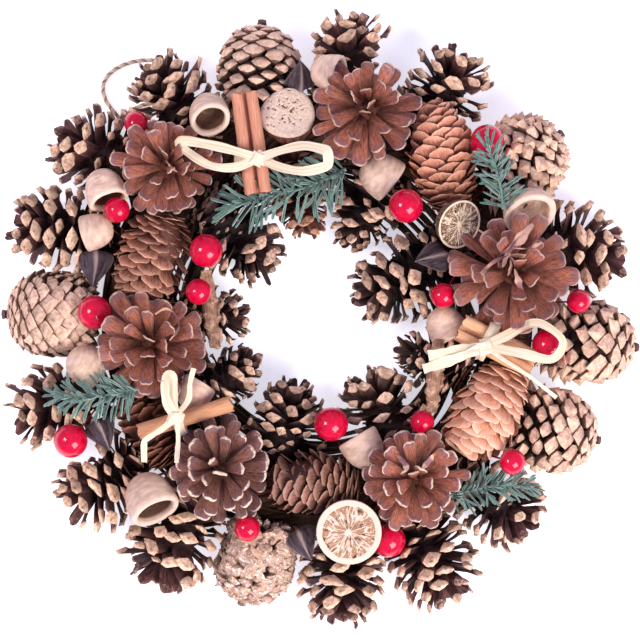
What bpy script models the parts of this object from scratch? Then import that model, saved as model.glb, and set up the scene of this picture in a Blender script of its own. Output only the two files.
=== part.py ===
"""A pine cone wreath lying on its back: cones round a ring, with berries, pods, fruit, bark, fir and raffia.

The wreath's axis is +Z and its middle is at x = y = 0. It rests on z = 0, and the side that faces the
room when it hangs looks up. Sizes in the tables are millimetres and degrees. A clock angle is measured
from +X towards +Y. Every cone has its own room, cut from space by flat planes between it and each of its
neighbours, and a scale that would leave that room is shortened, so no two pieces cross.
"""

import math

import bmesh
import bpy
import numpy as np
from mathutils import Matrix, Vector

MM = 0.001

# The ring that everything is fixed to
RING_RADIUS = 103.0
RING_HALF_WIDTH = 15.0
RING_HEIGHT = 20.0
RING_STEPS = 24

# Clearances
GAP = 0.16  # each of two neighbours keeps this far from the plane between them
FLOOR_GAP = 0.9  # only the ring itself touches the surface
CORE_GAP = 0.6
ROOT_GAP = 0.9  # a scale whose root is this close to the edge of the cone's room is left out

# Wires lie on the ring's flat top, the berries' inside the pods'
WIRE_RADIUS = 1.0
STEM_RADIUS = 0.8
WIRE_LEVEL = RING_HEIGHT + 0.3 + WIRE_RADIUS
BERRY_WIRE_RING = 98.0
POD_WIRE_RING = 108.0
WIRE_TOP = WIRE_LEVEL + WIRE_RADIUS

# One entry for each row of scales from the stalk to the tip: the core's radius and the scales' reach as
# shares of the cone's width, their angle from the cone's axis, and their width and thickness as shares too.
CONE_KINDS = {
    "open": {
        "segments": 10,
        "heights": (0.08, 0.88),
        "core": (0.14, 0.19, 0.20, 0.18, 0.13),
        "lean": (116, 94, 68, 36),
        "reach": (0.28, 0.34, 0.34, 0.29),
        "wide": (0.29, 0.34, 0.33, 0.25),
        "thick": (0.14, 0.14, 0.13, 0.09),
        "umbo": 0.0,
    },
    "small": {
        "segments": 10,
        "heights": (0.08, 0.88),
        "core": (0.14, 0.20, 0.21, 0.19, 0.14),
        "lean": (116, 94, 70, 40),
        "reach": (0.27, 0.32, 0.33, 0.28),
        "wide": (0.28, 0.33, 0.32, 0.25),
        "thick": (0.13, 0.13, 0.12, 0.08),
        "umbo": 0.0,
    },
    "domed": {
        "segments": 10,
        "heights": (0.08, 0.88),
        "core": (0.20, 0.36, 0.40, 0.30, 0.16),
        "lean": (150, 112, 88, 58),
        "reach": (0.10, 0.10, 0.13, 0.26),
        "wide": (0.20, 0.29, 0.31, 0.27),
        "thick": (0.14, 0.15, 0.14, 0.11),
        "umbo": 0.03,
    },
    "rosette": {
        "segments": 12,
        "heights": (0.30, 0.92),
        "core": (0.10, 0.15, 0.14, 0.11, 0.06),
        "lean": (88, 74, 58, 32),
        "reach": (0.38, 0.40, 0.36, 0.27),
        "wide": (0.22, 0.23, 0.21, 0.15),
        "thick": (0.06, 0.055, 0.05, 0.045),
        "umbo": 0.0,
    },
    "spruce": {
        "segments": 10,
        "heights": (0.06, 0.90),
        "core": (0.26, 0.38, 0.42, 0.41, 0.36, 0.22),
        "lean": (60, 42, 34, 28, 22),
        "reach": (0.22, 0.29, 0.31, 0.30, 0.26),
        "wide": (0.30, 0.39, 0.41, 0.38, 0.30),
        "thick": (0.05, 0.05, 0.05, 0.05, 0.05),
        "umbo": 0.0,
    },
}

# Outer cones: clock angle, distance of the cone's middle from the axis, heading off the radius, length,
# width, kind. A domed cone has its stalk outward, the others their tip.
OUTER_CONES = (
    (124, 142, -4, 46, 46, "open"),
    (104, 138, -18, 46, 50, "domed"),
    (83, 141, 4, 46, 46, "open"),
    (61, 140.5, -2, 43, 45, "open"),
    (38, 138, -4, 46, 50, "domed"),
    (15, 143, -26, 48, 48, "open"),
    (-5, 146, -2, 46, 48, "domed"),
    (-26, 139, 14, 46, 50, "domed"),
    (-46, 139, 8, 42, 46, "open"),
    (-65, 144, 2, 46, 46, "open"),
    (-85, 141, -4, 46, 46, "open"),
    (-105, 136, -2, 42, 48, "domed"),
    (-123, 145, 6, 48, 48, "open"),
    (-143, 146, -6, 48, 46, "open"),
    (-162, 148, 4, 50, 46, "open"),
    (179, 146, 2, 50, 54, "domed"),
    (161, 149, 14, 52, 48, "open"),
    (143, 146, 12, 50, 49, "open"),
)
OUTER_LEVEL = 23.5

# Inner cones: clock angle, distance of the middle, heading off the inward radius, length, width
INNER_CONES = (
    (136, 64, 6, 42, 42),
    (180, 65, 0, 40, 38),
    (213, 66, 4, 40, 36),
    (252, 64, 0, 42, 42),
    (304, 65, -4, 42, 44),
    (340, 68, 4, 34, 34),
    (27, 56, 8, 56, 46),
    (66, 66, -4, 38, 38),
    (99, 67, 2, 34, 32),
)
INNER_LEVEL = 22.0

# Cones that stand on their stalk and show their open face: x, y, width, height, lean of the tip in x and y
ROSETTES = (
    (-81, 81, 56, 44, -3, 3),
    (25, 112, 56, 46, 0, 5),
    (103, 24, 65, 48, 4, 2),
    (50, -86, 54, 46, 2, 0),
    (-53, -81, 54, 46, 0, 2),
    (-90, -14, 60, 44, -2, 0),
)

# Spruce cones lying on the ring: x, y, heading of the tip, rise of the tip, length, width
SPRUCE_CONES = (
    (-90, 33, 250, -4, 52, 33),
    (66, 86, 101, 11, 60, 34),
    (91, -50, 240, 8, 56, 38),
    (-4, -89, 175, 4, 52, 31),
    (-92, -61, 125, 0, 42, 29),
)

# Berries: x, y, height of the middle, radius, and the clock angle at which the stem leaves its wire
BERRY_SPRAYS = {
    "berry_spray_left": (
        (-99, 105, 46, 6.5, 127),
        (-109, 58, 52, 7.0, 150),
        (-61, 36, 57, 9.0, 149),
        (-65, 14, 56, 7.0, 170),
        (-121, 3, 52, 9.2, 178),
        (-134, -66, 50, 9.2, 197),
    ),
    "berry_spray_right": (
        (46, 60, 57, 9.2, 54),
        (90, 95, 48, 9.2, 38),
        (66, 12, 52, 6.8, 22),
        (139, 9, 50, 6.5, 4),
        (125, -14, 50, 8.0, -6),
    ),
    "berry_spray_lower": (
        (6, -57, 50, 9.2, -79),
        (55, -56, 50, 6.5, -48),
        (103, -77, 57, 7.0, -40),
        (37, -120, 43, 9.2, -73),
        (-39, -113, 52, 7.0, -110),
    ),
}

# Pods on wires, one list for each quarter: what it is, x, y, height of its middle, radius or half length,
# heading and rise of its mouth, the clock angle at which its stem leaves the wire, and a point the stem goes by
POD_SPRAYS = {
    "pod_spray_upper": (
        ("cup", -60, 111, 48, 11.0, 285, 48, 114),
        ("cup", 4, 132, 48, 10.0, 350, 25, 86),
        ("cup", 32, 78, 41, 12.0, 325, -8, 84),
        ("burr", -11, 130, 40, 8.0, 90, 30, 89),
    ),
    "pod_spray_right": (
        ("cup", 115, 57, 45, 14.0, 250, 52, 27),
        ("cup", 67, -3, 38, 10.5, 300, -10, -2),
        ("burr", 61, 33, 40, 8.5, 200, 20, 34),
        ("strip", 62, -31, 46, 20.0, 84, 6, -16),
    ),
    "pod_spray_left": (
        ("cup", -116, 70, 46, 11.5, 290, 22, 148),
        ("cup", -120, 47, 46, 10.0, 196, -6, 158),
        ("burr", -122, 28, 42, 9.5, 270, 10, 167),
        ("cup", -127, -25, 43, 11.0, 330, -30, 190),
        ("strip", -59, 5, 42, 21.0, 97, 4, 173),
    ),
    "pod_spray_lower": (
        ("cup", -92, -96, 48, 14.0, 280, 10, 226),
        ("burr", -118, -62, 43, 8.5, 300, 10, 226, (-99, -90, 40)),
        ("burr", -9, -121, 41, 8.5, 300, 10, 262),
        ("cup", -68, -41, 45, 9.5, 60, -10, 219),
        ("cup", 24, -71, 45, 11.5, 120, -4, 290),
    ),
}

# Cinnamon sticks: x, y, height of the middle, heading, rise, length, radius of a scroll, scrolls
CINNAMON = (
    (-37, 94, 52, 98, 3, 54, 4.1, 2),
    (-72, -54, 57, 17, 2, 52, 5.6, 1),
    (95, -15, 53, 153, 0, 44, 4.3, 2),
)

# Raffia bows: which stick, distance along it from its middle, then the loops and tails as plans of points
# from the knot, in the wreath's own x and y, with the height above the knot
BOWS = (
    {
        "along": -9,
        "loops": (
            ((0, 0, 0), (-14, 3, 3), (-27, 6, 4), (-39, 11, 3), (-38, 6, 3), (-24, -4, 2), (-10, -4, 1), (0, 0, 0)),
            ((0, 0, 0), (14, 3, 4), (26, 9, 5), (36, 5, 5), (36, 0, 4), (24, -5, 3), (12, -5, 2), (0, 0, 0)),
        ),
        "tails": (),
    },
    {
        "along": -4,
        "loops": (((0, 0, 0), (-4, 8, 3), (-4, 17, 5), (-1, 23, 5), (2, 17, 4), (2, 8, 2), (0, 0, 0)),),
        "tails": (
            ((0, 0, 0), (7, 9, 3), (8, 18, 4), (10, 26, 4)),
            ((0, 0, 0), (-7, -8, 0), (-16, -13, -2), (-17, -23, -4)),
            ((0, 0, 0), (1, -11, 0), (0, -24, -3)),
        ),
    },
    {
        "along": 6,
        "loops": (((0, 0, 0), (11, 6, 2), (24, 14, 4), (35, 12, 5), (43, 4, 4), (37, -7, 3), (20, -4, 2), (0, 0, 0)),),
        "tails": (
            ((0, 0, 0), (-14, -2, 1), (-30, -5, 0)),
            ((0, 0, 0), (-15, -6, 0), (-33, -12, -2)),
            ((0, 0, 0), (10, -7, 0), (24, -16, -1), (38, -27, -3)),
        ),
    },
)
RAFFIA_RADIUS = 1.3

# Dried fruit: x, y, height of the cut face's middle, radius, depth, heading and tilt of the cut face
FRUIT = {
    "citrus_slice": (15.5, -114.8, 55.8, 17.5, 4.0, 270, 6),
    "dried_lime_half": (75, 50, 55, 13.5, 13.0, 330, 38),
}

SPONGY_POD = {"at": (-17, 107), "radius": 15.0, "foot": WIRE_TOP - 1.3, "height": 26.0, "tilt": 22.0}

# Fir sprigs: stem points from the cut end to the tip, needle length, stem steps, share of steps with a needle
# on the left
SPRIGS = {
    "fir_sprig_upper": (((14, 80, 48.5), (-6, 71, 45.5), (-26, 66, 44), (-48, 61, 47.5)), 22, 18, 0.55),
    "fir_sprig_right": (((98, 58, 60), (97, 68, 60), (94, 80, 61), (89, 93, 63)), 14, 12, 1.0),
    "fir_sprig_left": (((-98, -38, 53), (-110, -41, 54), (-124, -42, 55), (-140, -42, 53)), 15, 13, 0.8),
    "fir_sprig_lower": (((70, -96, 46), (84, -92, 47), (98, -90, 48), (112, -90, 47)), 15, 13, 1.0),
}
SPRIG_STEM = 2.2
NEEDLE_END = 0.7

# The twine loop for hanging, lying on the surface: it leaves the ring, goes round and comes back
TWINE_RADIUS = 1.25
TWINE_ROUTE = (
    (-76.2, 83.2), (-83, 90.5), (-90, 96.5), (-98, 102), (-106.5, 107), (-113, 113), (-118, 120), (-119.5, 128), (-115.5, 135),
    (-107, 140), (-97, 142), (-87, 141), (-79, 136.5), (-77, 129), (-81, 122.5), (-89, 119), (-98, 117.2),
    (-106, 112.5), (-105.5, 105), (-97.5, 96), (-89.5, 87.5), (-81.2, 78.3),
)

COLOURS = {
    "willow": ((0.24, 0.15, 0.09), 0.85),
    "pine_scale": ((0.30, 0.19, 0.12), 0.75),
    "rosette_scale": ((0.36, 0.19, 0.15), 0.6),
    "spruce_scale": ((0.52, 0.27, 0.15), 0.65),
    "red_berry": ((0.75, 0.01, 0.04), 0.12),
    "bell_cup": ((0.66, 0.47, 0.33), 0.7),
    "cinnamon": ((0.50, 0.22, 0.11), 0.7),
    "raffia": ((0.88, 0.76, 0.55), 0.6),
    "citrus": ((0.86, 0.68, 0.46), 0.7),
    "lime_rind": ((0.33, 0.25, 0.19), 0.75),
    "spongy_pod": ((0.70, 0.50, 0.40), 0.85),
    "fir_needle": ((0.16, 0.32, 0.25), 0.55),
    "jute": ((0.62, 0.45, 0.30), 0.9),
}


def clear_scene():
    for obj in list(bpy.data.objects):
        bpy.data.objects.remove(obj, do_unlink=True)


def make_collections():
    wreath = bpy.data.collections.new("pinecone_wreath")
    bpy.context.scene.collection.children.link(wreath)
    return wreath


def make_material(name):
    material = bpy.data.materials.new(name)
    material.use_nodes = True
    shader = material.node_tree.nodes["Principled BSDF"]
    colour, roughness = COLOURS[name]
    shader.inputs["Base Color"].default_value = (*colour, 1)
    shader.inputs["Roughness"].default_value = roughness
    shader.inputs["Metallic"].default_value = 0
    return material


def clock(angle, radius, level=0.0):
    """The point at a clock angle, a distance from the wreath's axis and a height."""
    a = math.radians(angle)
    return Vector((radius * math.cos(a), radius * math.sin(a), level))


def pointing(heading, rise):
    """A unit vector at a clock heading, raised by an angle."""
    h, r = math.radians(heading), math.radians(rise)
    return Vector((math.cos(h) * math.cos(r), math.sin(h) * math.cos(r), math.sin(r)))


def frame_along(direction, origin):
    """A matrix, in millimetres, that puts a shape's +Z along the direction and its origin at the point."""
    turn = Vector(direction).to_track_quat("Z", "Y").to_matrix().to_4x4()
    return Matrix.Translation(Vector(origin)) @ turn


def place(name, bm, matrix_mm, slot):
    """Makes one object from a mesh in millimetres, at its place in the wreath."""
    bmesh.ops.recalc_face_normals(bm, faces=bm.faces)
    bmesh.ops.scale(bm, vec=(MM, MM, MM), verts=bm.verts)
    mesh = bpy.data.meshes.new(name)
    bm.to_mesh(mesh)
    bm.free()
    obj = bpy.data.objects.new(name, mesh)
    WREATH.objects.link(obj)
    location, rotation, _ = matrix_mm.decompose()
    obj.location = location * MM
    obj.rotation_mode = "QUATERNION"
    obj.rotation_quaternion = rotation
    obj.data.materials.append(MATERIALS[slot])
    bpy.context.view_layer.update()
    return obj


def world_points(obj):
    """The object's own points in the wreath, in millimetres."""
    return np.array([obj.matrix_world @ v.co for v in obj.data.vertices]) / MM


def union(name, pieces, slot):
    """Joins closed shapes that overlap into one object."""
    base = pieces[0]
    rest = bpy.data.collections.new("joining")
    bpy.context.scene.collection.children.link(rest)
    for piece in pieces[1:]:
        WREATH.objects.unlink(piece)
        rest.objects.link(piece)
    join = base.modifiers.new("join", "BOOLEAN")
    join.operation = "UNION"
    join.operand_type = "COLLECTION"
    join.collection = rest
    join.solver = "EXACT"
    bpy.context.view_layer.update()
    mesh = bpy.data.meshes.new_from_object(base.evaluated_get(bpy.context.evaluated_depsgraph_get()))
    base.modifiers.remove(join)
    base.data = mesh
    base.name = name
    mesh.materials.clear()
    mesh.materials.append(MATERIALS[slot])
    for piece in list(rest.objects):
        bpy.data.objects.remove(piece, do_unlink=True)
    bpy.data.collections.remove(rest)
    bm = bmesh.new()
    bm.from_mesh(mesh)
    bmesh.ops.remove_doubles(bm, verts=bm.verts, dist=0.01 * MM)
    bmesh.ops.dissolve_degenerate(bm, edges=bm.edges, dist=0.01 * MM)
    bm.to_mesh(mesh)
    bm.free()
    return base


def tube(name, points, radius, resolution, slot):
    """A round wire through points, as a closed mesh."""
    curve = bpy.data.curves.new(name, "CURVE")
    curve.dimensions = "3D"
    curve.bevel_depth = radius * MM
    curve.bevel_resolution = resolution
    curve.use_fill_caps = True
    spline = curve.splines.new("POLY")
    spline.points.add(len(points) - 1)
    for point, co in zip(spline.points, points):
        point.co = (*(Vector(co) * MM), 1)
    guide = bpy.data.objects.new(name + "_guide", curve)
    WREATH.objects.link(guide)
    bpy.context.view_layer.update()
    mesh = bpy.data.meshes.new_from_object(guide.evaluated_get(bpy.context.evaluated_depsgraph_get()))
    bpy.data.objects.remove(guide, do_unlink=True)
    bm = bmesh.new()
    bm.from_mesh(mesh)
    bmesh.ops.remove_doubles(bm, verts=bm.verts, dist=0.01 * MM)
    bmesh.ops.recalc_face_normals(bm, faces=bm.faces)
    bm.to_mesh(mesh)
    bm.free()
    mesh.materials.clear()
    mesh.materials.append(MATERIALS[slot])
    obj = bpy.data.objects.new(name, mesh)
    WREATH.objects.link(obj)
    return obj


def smooth_route(points, spacing):
    """Evenly spaced points on a smooth curve through the given ones."""
    p = [Vector(q) for q in points]
    ends = [2 * p[0] - p[1], *p, 2 * p[-1] - p[-2]]
    fine = []
    for a, b, c, d in zip(ends, ends[1:], ends[2:], ends[3:]):
        for step in range(12):
            t = step / 12
            fine.append(
                0.5 * (2 * b + (c - a) * t + (2 * a - 5 * b + 4 * c - d) * t * t + (3 * b - a - 3 * c + d) * t**3)
            )
    fine.append(p[-1])
    run = np.cumsum([0] + [(b - a).length for a, b in zip(fine, fine[1:])])
    wanted = np.linspace(0, run[-1], max(2, round(run[-1] / spacing) + 1))
    xyz = np.array(fine)
    return [Vector([np.interp(w, run, xyz[:, k]) for k in range(3)]) for w in wanted]


def turned(profile, steps, share=1.0):
    """A profile of (radius, height) points turned about +Z, as a mesh in millimetres."""
    bm = bmesh.new()
    verts = [bm.verts.new((r, 0, z)) for r, z in profile]
    edges = [bm.edges.new(pair) for pair in zip(verts, verts[1:])]
    bmesh.ops.spin(
        bm, geom=verts + edges, cent=(0, 0, 0), axis=(0, 0, 1), angle=math.tau * share, steps=steps, use_merge=False
    )
    bmesh.ops.remove_doubles(bm, verts=bm.verts, dist=0.01)
    return bm


DIRECTIONS = np.array(
    [
        (math.cos(k * 2.399963) * math.sqrt(1 - z * z), math.sin(k * 2.399963) * math.sqrt(1 - z * z), z)
        for k in range(900)
        for z in (1 - 2 * (k + 0.5) / 900,)
    ]
)


SQUARE = ((1, -1), (1, 1), (-1, 1), (-1, -1))


class Room:
    """The room of one cone: planes (normal, distance) that it stays behind, and the fixed pieces near it."""

    def __init__(self):
        self.planes = [(np.array((0.0, 0.0, -1.0)), -FLOOR_GAP)]
        self.near = []

    def add(self, normal, distance):
        self.planes.append((np.array(normal, float), float(distance)))

    def share_of(self, root, ends):
        """How much of the way from its root a scale with these end points may keep."""
        share = 1.0
        for normal, distance in self.planes:
            start = distance - normal @ root
            travel = ends @ normal - normal @ root
            if start < ROOT_GAP and travel.max() > 0:
                return 0.0
            for step in travel[travel > 1e-9]:
                share = min(share, start / step)
        return share

    def clears_fixed(self, points):
        """Whether the convex shape of these points keeps its distance from every fixed piece near."""
        low, high = points.min(0) - 2 * GAP, points.max(0) + 2 * GAP
        for hull in self.near:
            if (low > hull.max(0)).any() or (high < hull.min(0)).any():
                continue
            if ((hull @ DIRECTIONS.T).min(0) - (points @ DIRECTIONS.T).max(0)).max() < 2 * GAP:
                return False
        return True


def parting(mine, my_core, theirs, their_core, keep):
    """The plane that parts two neighbours and costs the first the least. keep is its share of what they both want."""
    best = None
    for spread in (None, 0.12, 0.03):
        if spread is None:
            tries = DIRECTIONS
        else:
            tries = best[1] + spread * DIRECTIONS[::6]
            tries = tries / np.linalg.norm(tries, axis=1)[:, None]
        far = (mine @ tries.T).max(0)
        near = (theirs @ tries.T).min(0)
        core_far = (my_core @ tries.T).max(0)
        core_near = (their_core @ tries.T).min(0)
        score = near - far
        tight = core_near - core_far - 2 * CORE_GAP
        score = np.where(tight > 0, score, tight - 500)
        k = int(score.argmax())
        if best is None or score[k] > best[0]:
            best = (score[k], tries[k], far[k], near[k], core_far[k], core_near[k])
    score, normal, far, near, core_far, core_near = best
    level = near + (far - near) * keep if far > near else (far + near) / 2
    level = min(max(level, core_far + CORE_GAP), max(core_near - CORE_GAP, core_far + CORE_GAP))
    return normal, level, score


class Cone:
    """A pine or spruce cone: a slim core with rows of scales, every other face of the core raised into one."""

    def __init__(self, name, kind, stalk, direction, length, width, slot, rank):
        self.name, self.kind, self.slot, self.rank = name, CONE_KINDS[kind], slot, rank
        self.length, self.width = length, width
        self.matrix = frame_along(direction, stalk)
        self.room = Room()
        self.rows = len(self.kind["lean"])
        self.segments = self.kind["segments"]

    def ring(self, k):
        """Radius and height of the core's ring k, counted from the stalk."""
        low, high = self.kind["heights"]
        return self.kind["core"][k] * self.width, self.length * (low + (high - low) * k / self.rows)

    def scale(self, row, at):
        """Root, out direction, axis and side of the scale of a row at an angle, and its four end corners."""
        (r0, z0), (r1, z1) = self.ring(row), self.ring(row + 1)
        out = Vector((math.cos(at), math.sin(at), 0))
        side = Vector((-math.sin(at), math.cos(at), 0))
        root = out * ((r0 + r1) / 2 * math.cos(math.pi / self.segments)) + Vector((0, 0, (z0 + z1) / 2))
        lean = math.radians(self.kind["lean"][row])
        way = out * math.sin(lean) + Vector((0, 0, math.cos(lean)))
        up = Vector((0, 0, math.sin(lean))) - out * math.cos(lean)
        end = root + way * (self.kind["reach"][row] * self.width)
        half, thick = self.kind["wide"][row] * self.width / 2, self.kind["thick"][row] * self.width / 2
        corners = {(s, u): end + side * (s * half) + up * (u * thick) for s in (-1, 1) for u in (-1, 1)}
        return root, way, side, corners

    def slots(self):
        """Row and angle of every scale: every other face of each row, shifted by one from row to row."""
        step = math.tau / self.segments
        for row in range(self.rows):
            for j in range(self.segments):
                if (row + j) % 2 == 0:
                    yield row, j, (j + 0.5) * step

    def core_points(self):
        rings = [self.ring(k) for k in range(self.rows + 1)]
        steps = [j * math.tau / self.segments for j in range(self.segments)]
        points = [Vector((r * math.cos(a), r * math.sin(a), z)) for r, z in rings for a in steps]
        return points + [Vector((0, 0, 0)), Vector((0, 0, self.length * 0.96))]

    def to_world(self, points):
        return np.array([self.matrix @ Vector(p) for p in points])

    def reach_points(self):
        points = self.core_points()
        for row, _, at in self.slots():
            points += self.scale(row, at)[3].values()
        return points

    def build(self):
        bm = bmesh.new()
        bmesh.ops.create_uvsphere(bm, u_segments=self.segments, v_segments=self.rows + 2, radius=1)
        seg, rings = self.segments, self.rows + 2
        place_of = {}
        for v in bm.verts:
            k = rings - round(math.acos(max(-1, min(1, v.co.z))) * rings / math.pi)
            j = round((math.atan2(v.co.y, v.co.x) - math.pi / 2) * seg / math.tau) % seg
            place_of[v] = (k, j)
        chosen = {}
        for face in bm.faces:
            if len(face.verts) != 4:
                continue
            row = min(place_of[v][0] for v in face.verts) - 1
            js = sorted({place_of[v][1] for v in face.verts})
            j = js[-1] if js[-1] - js[0] > 1 else js[0]
            if (row + j) % 2 == 0:
                chosen[face] = (row, j)
        for v, (k, j) in place_of.items():
            if k in (0, rings):
                v.co = (0, 0, 0 if k == 0 else self.length * 0.96)
                continue
            r, z = self.ring(k - 1)
            a = j * math.tau / seg
            v.co = (r * math.cos(a), r * math.sin(a), z)
        self.keep_core_in_room(bm.verts)
        for face, (row, j) in chosen.items():
            self.raise_scale(bm, face, row, (j + 0.5) * math.tau / seg)
        bmesh.ops.triangulate(bm, faces=[f for f in bm.faces if len(f.verts) > 3])
        return place(self.name, bm, self.matrix, self.slot)

    def keep_core_in_room(self, verts):
        for v in verts:
            axis = Vector((0, 0, min(max(v.co.z, 0.15 * self.length), 0.8 * self.length)))
            ends = self.to_world([v.co])
            share = self.room.share_of(self.to_world([axis])[0], ends)
            if share < 1:
                v.co = axis + (v.co - axis) * max(share, 0.05)

    def raise_scale(self, bm, face, row, at):
        root, way, side, corners = self.scale(row, at)
        middle = sum((v.co for v in face.verts), Vector()) / 4
        tip = sum(corners.values(), Vector()) / 4 + way * (self.kind["umbo"] * self.width)
        ends = self.to_world([*corners.values(), tip])
        root_at = self.to_world([middle])[0]
        root_face = self.to_world([v.co for v in face.verts])
        if (ends.mean(0) - root_at)[2] < -0.85 * np.linalg.norm(ends.mean(0) - root_at):
            return  # it would be pressed flat under the cone
        share = min(1.0, self.room.share_of(root_at, ends))
        while share >= 0.3 and not self.room.clears_fixed(np.vstack([root_face, root_at + (ends - root_at) * share])):
            share -= 0.025
        if share < 0.3:
            return
        raised = bmesh.ops.extrude_discrete_faces(bm, faces=[face])["faces"][0]
        for v in raised.verts:
            key = (1 if (v.co - middle).dot(side) > 0 else -1, 1 if v.co.z > middle.z else -1)
            v.co = middle + (corners[key] - middle) * share
        if self.kind["umbo"]:
            peak = bmesh.ops.poke(bm, faces=[raised])["verts"][0]
            peak.co = middle + (tip - middle) * share


def build_ring():
    """The ring that carries everything: six-sided in section, flat above and below."""
    half = RING_HEIGHT / 2
    bpy.ops.mesh.primitive_torus_add(
        major_radius=RING_RADIUS * MM,
        minor_radius=RING_HALF_WIDTH * MM,
        major_segments=RING_STEPS,
        minor_segments=6,
        location=(0, 0, half * MM),
    )
    ring = bpy.context.active_object
    ring.name = "base_ring"
    squash = half / (RING_HALF_WIDTH * math.sin(math.radians(60)))
    for v in ring.data.vertices:
        v.co.z *= squash
    ring.data.materials.append(MATERIALS["willow"])
    for collection in list(ring.users_collection):
        collection.objects.unlink(ring)
    WREATH.objects.link(ring)
    bpy.context.view_layer.update()
    return ring


def stretches(points, radius):
    """The room that each straight stretch of a wire takes, as the points of a box round it."""
    corners = [Vector((i, j, k)) * radius for i in (-1, 1) for j in (-1, 1) for k in (-1, 1)]
    return [np.array([Vector(end) + c for end in pair for c in corners]) for pair in zip(points, points[1:])]


def stem_route(angle, wire_ring, end, by=()):
    """A stem from its wire on the ring, past the ring's inner or outer edge, up to what it holds."""
    inward = math.hypot(end[0], end[1]) < wire_ring
    knee = clock(angle, 84.5 if inward else 114.0, 26.0 if inward else 30.0)
    return [clock(angle, wire_ring, WIRE_LEVEL), knee, *(Vector(p) for p in by), Vector(end)]


def wire_arc(angles, radius):
    """Points along a wire on the ring's top, between the first and last of the angles."""
    first, last = min(angles) - 3, max(angles) + 3
    steps = max(3, round((last - first) / 12))
    return [clock(first + (last - first) * k / steps, radius, WIRE_LEVEL) for k in range(steps + 1)]


def build_berries(name, berries):
    """Glossy berries, each on a thin wire stem, that share one wire along the ring."""
    pieces = [tube(name + "_wire", wire_arc([b[4] for b in berries], BERRY_WIRE_RING), WIRE_RADIUS, 0, "red_berry")]
    hulls = []
    for x, y, level, radius, angle in berries:
        route = stem_route(angle, BERRY_WIRE_RING, (x, y, level))
        stem = tube(name + "_stem", route, STEM_RADIUS, 0, "red_berry")
        bm = bmesh.new()
        bmesh.ops.create_icosphere(bm, subdivisions=2, radius=radius)
        ball = place(name + "_ball", bm, Matrix.Translation(route[-1]), "red_berry")
        pieces += [stem, ball]
        hulls += [*stretches(route, STEM_RADIUS), world_points(ball)]
    return union(name, pieces, "red_berry"), hulls


def cup(radius):
    """A bell-shaped seed cup: a thin wall, closed at the stem end, with its mouth towards +Z."""
    outside = ((0, -0.9), (0.62, -0.68), (0.95, 0.0), (1.0, 0.75))
    inside = ((0.84, 0.75), (0.72, -0.2), (0, -0.55))
    return turned([(r * radius, z * radius) for r, z in outside + inside], 8)


def burr(radius):
    """A dark seed pod with four ridges, from stem to point."""
    bm = turned([(0, -radius), (0.62 * radius, -0.45 * radius), (0.8 * radius, 0.2 * radius), (0, 1.15 * radius)], 8)
    for v in bm.verts:
        turn = round(math.atan2(v.co.y, v.co.x) / (math.tau / 8))
        if turn % 2:
            v.co.x *= 0.6
            v.co.y *= 0.6
    return bm


def strip(half_length):
    """A torn strip of cork bark, thick in the middle and curved like the twig it came off."""
    bm = bmesh.new()
    bmesh.ops.create_cube(bm, size=1)
    long_edges = [e for e in bm.edges if abs(e.verts[0].co.z - e.verts[1].co.z) > 0.5]
    bmesh.ops.subdivide_edges(bm, edges=long_edges, cuts=5, use_grid_fill=True)
    for v in bm.verts:
        along = v.co.z
        ripple = 1 + 0.22 * math.sin(17 * along + 3 * v.co.x)
        v.co = Vector((v.co.x * 8 * ripple, v.co.y * 4 * (1.3 - abs(along)) + 5 * along * along, along * 2 * half_length))
    return bm


POD_SHAPES = {"cup": cup, "burr": burr, "strip": strip}


def build_pods(name, pods):
    """Seed cups, dark pods and bark, each on a short wire, that share one wire along the ring."""
    pieces = [tube(name + "_wire", wire_arc([p[7] for p in pods], POD_WIRE_RING), WIRE_RADIUS, 0, "bell_cup")]
    hulls = []
    for kind, x, y, level, size, heading, rise, angle, *by in pods:
        middle = Vector((x, y, level))
        axis = pointing(heading, rise)
        pod = place(name + "_pod", POD_SHAPES[kind](size), frame_along(axis, middle), "bell_cup")
        grip = middle - axis * (0.72 * size if kind == "cup" else 0.2 * size)
        route = stem_route(angle, POD_WIRE_RING, grip, by)
        pieces += [pod, tube(name + "_stem", route, STEM_RADIUS, 0, "bell_cup")]
        hulls += [world_points(pod), *stretches(route, STEM_RADIUS)]
    return union(name, pieces, "bell_cup"), hulls


def scroll(radius, scrolls):
    """Centre line of a quill's section: bark rolled into one scroll, or from both edges into two."""
    turns = [k / 11 for k in range(12)]
    spin = [(0.30 + 0.62 * t, math.radians(-30 + 500 * t)) for t in turns]
    one = [(radius * r * math.cos(a), radius * r * math.sin(a)) for r, a in spin]
    if scrolls == 1:
        return one
    shift = radius * 0.96
    left = [(-shift - x, y) for x, y in one]
    right = [(shift + x, y) for x, y in one]
    return left[:-1] + right[-2::-1]


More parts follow.
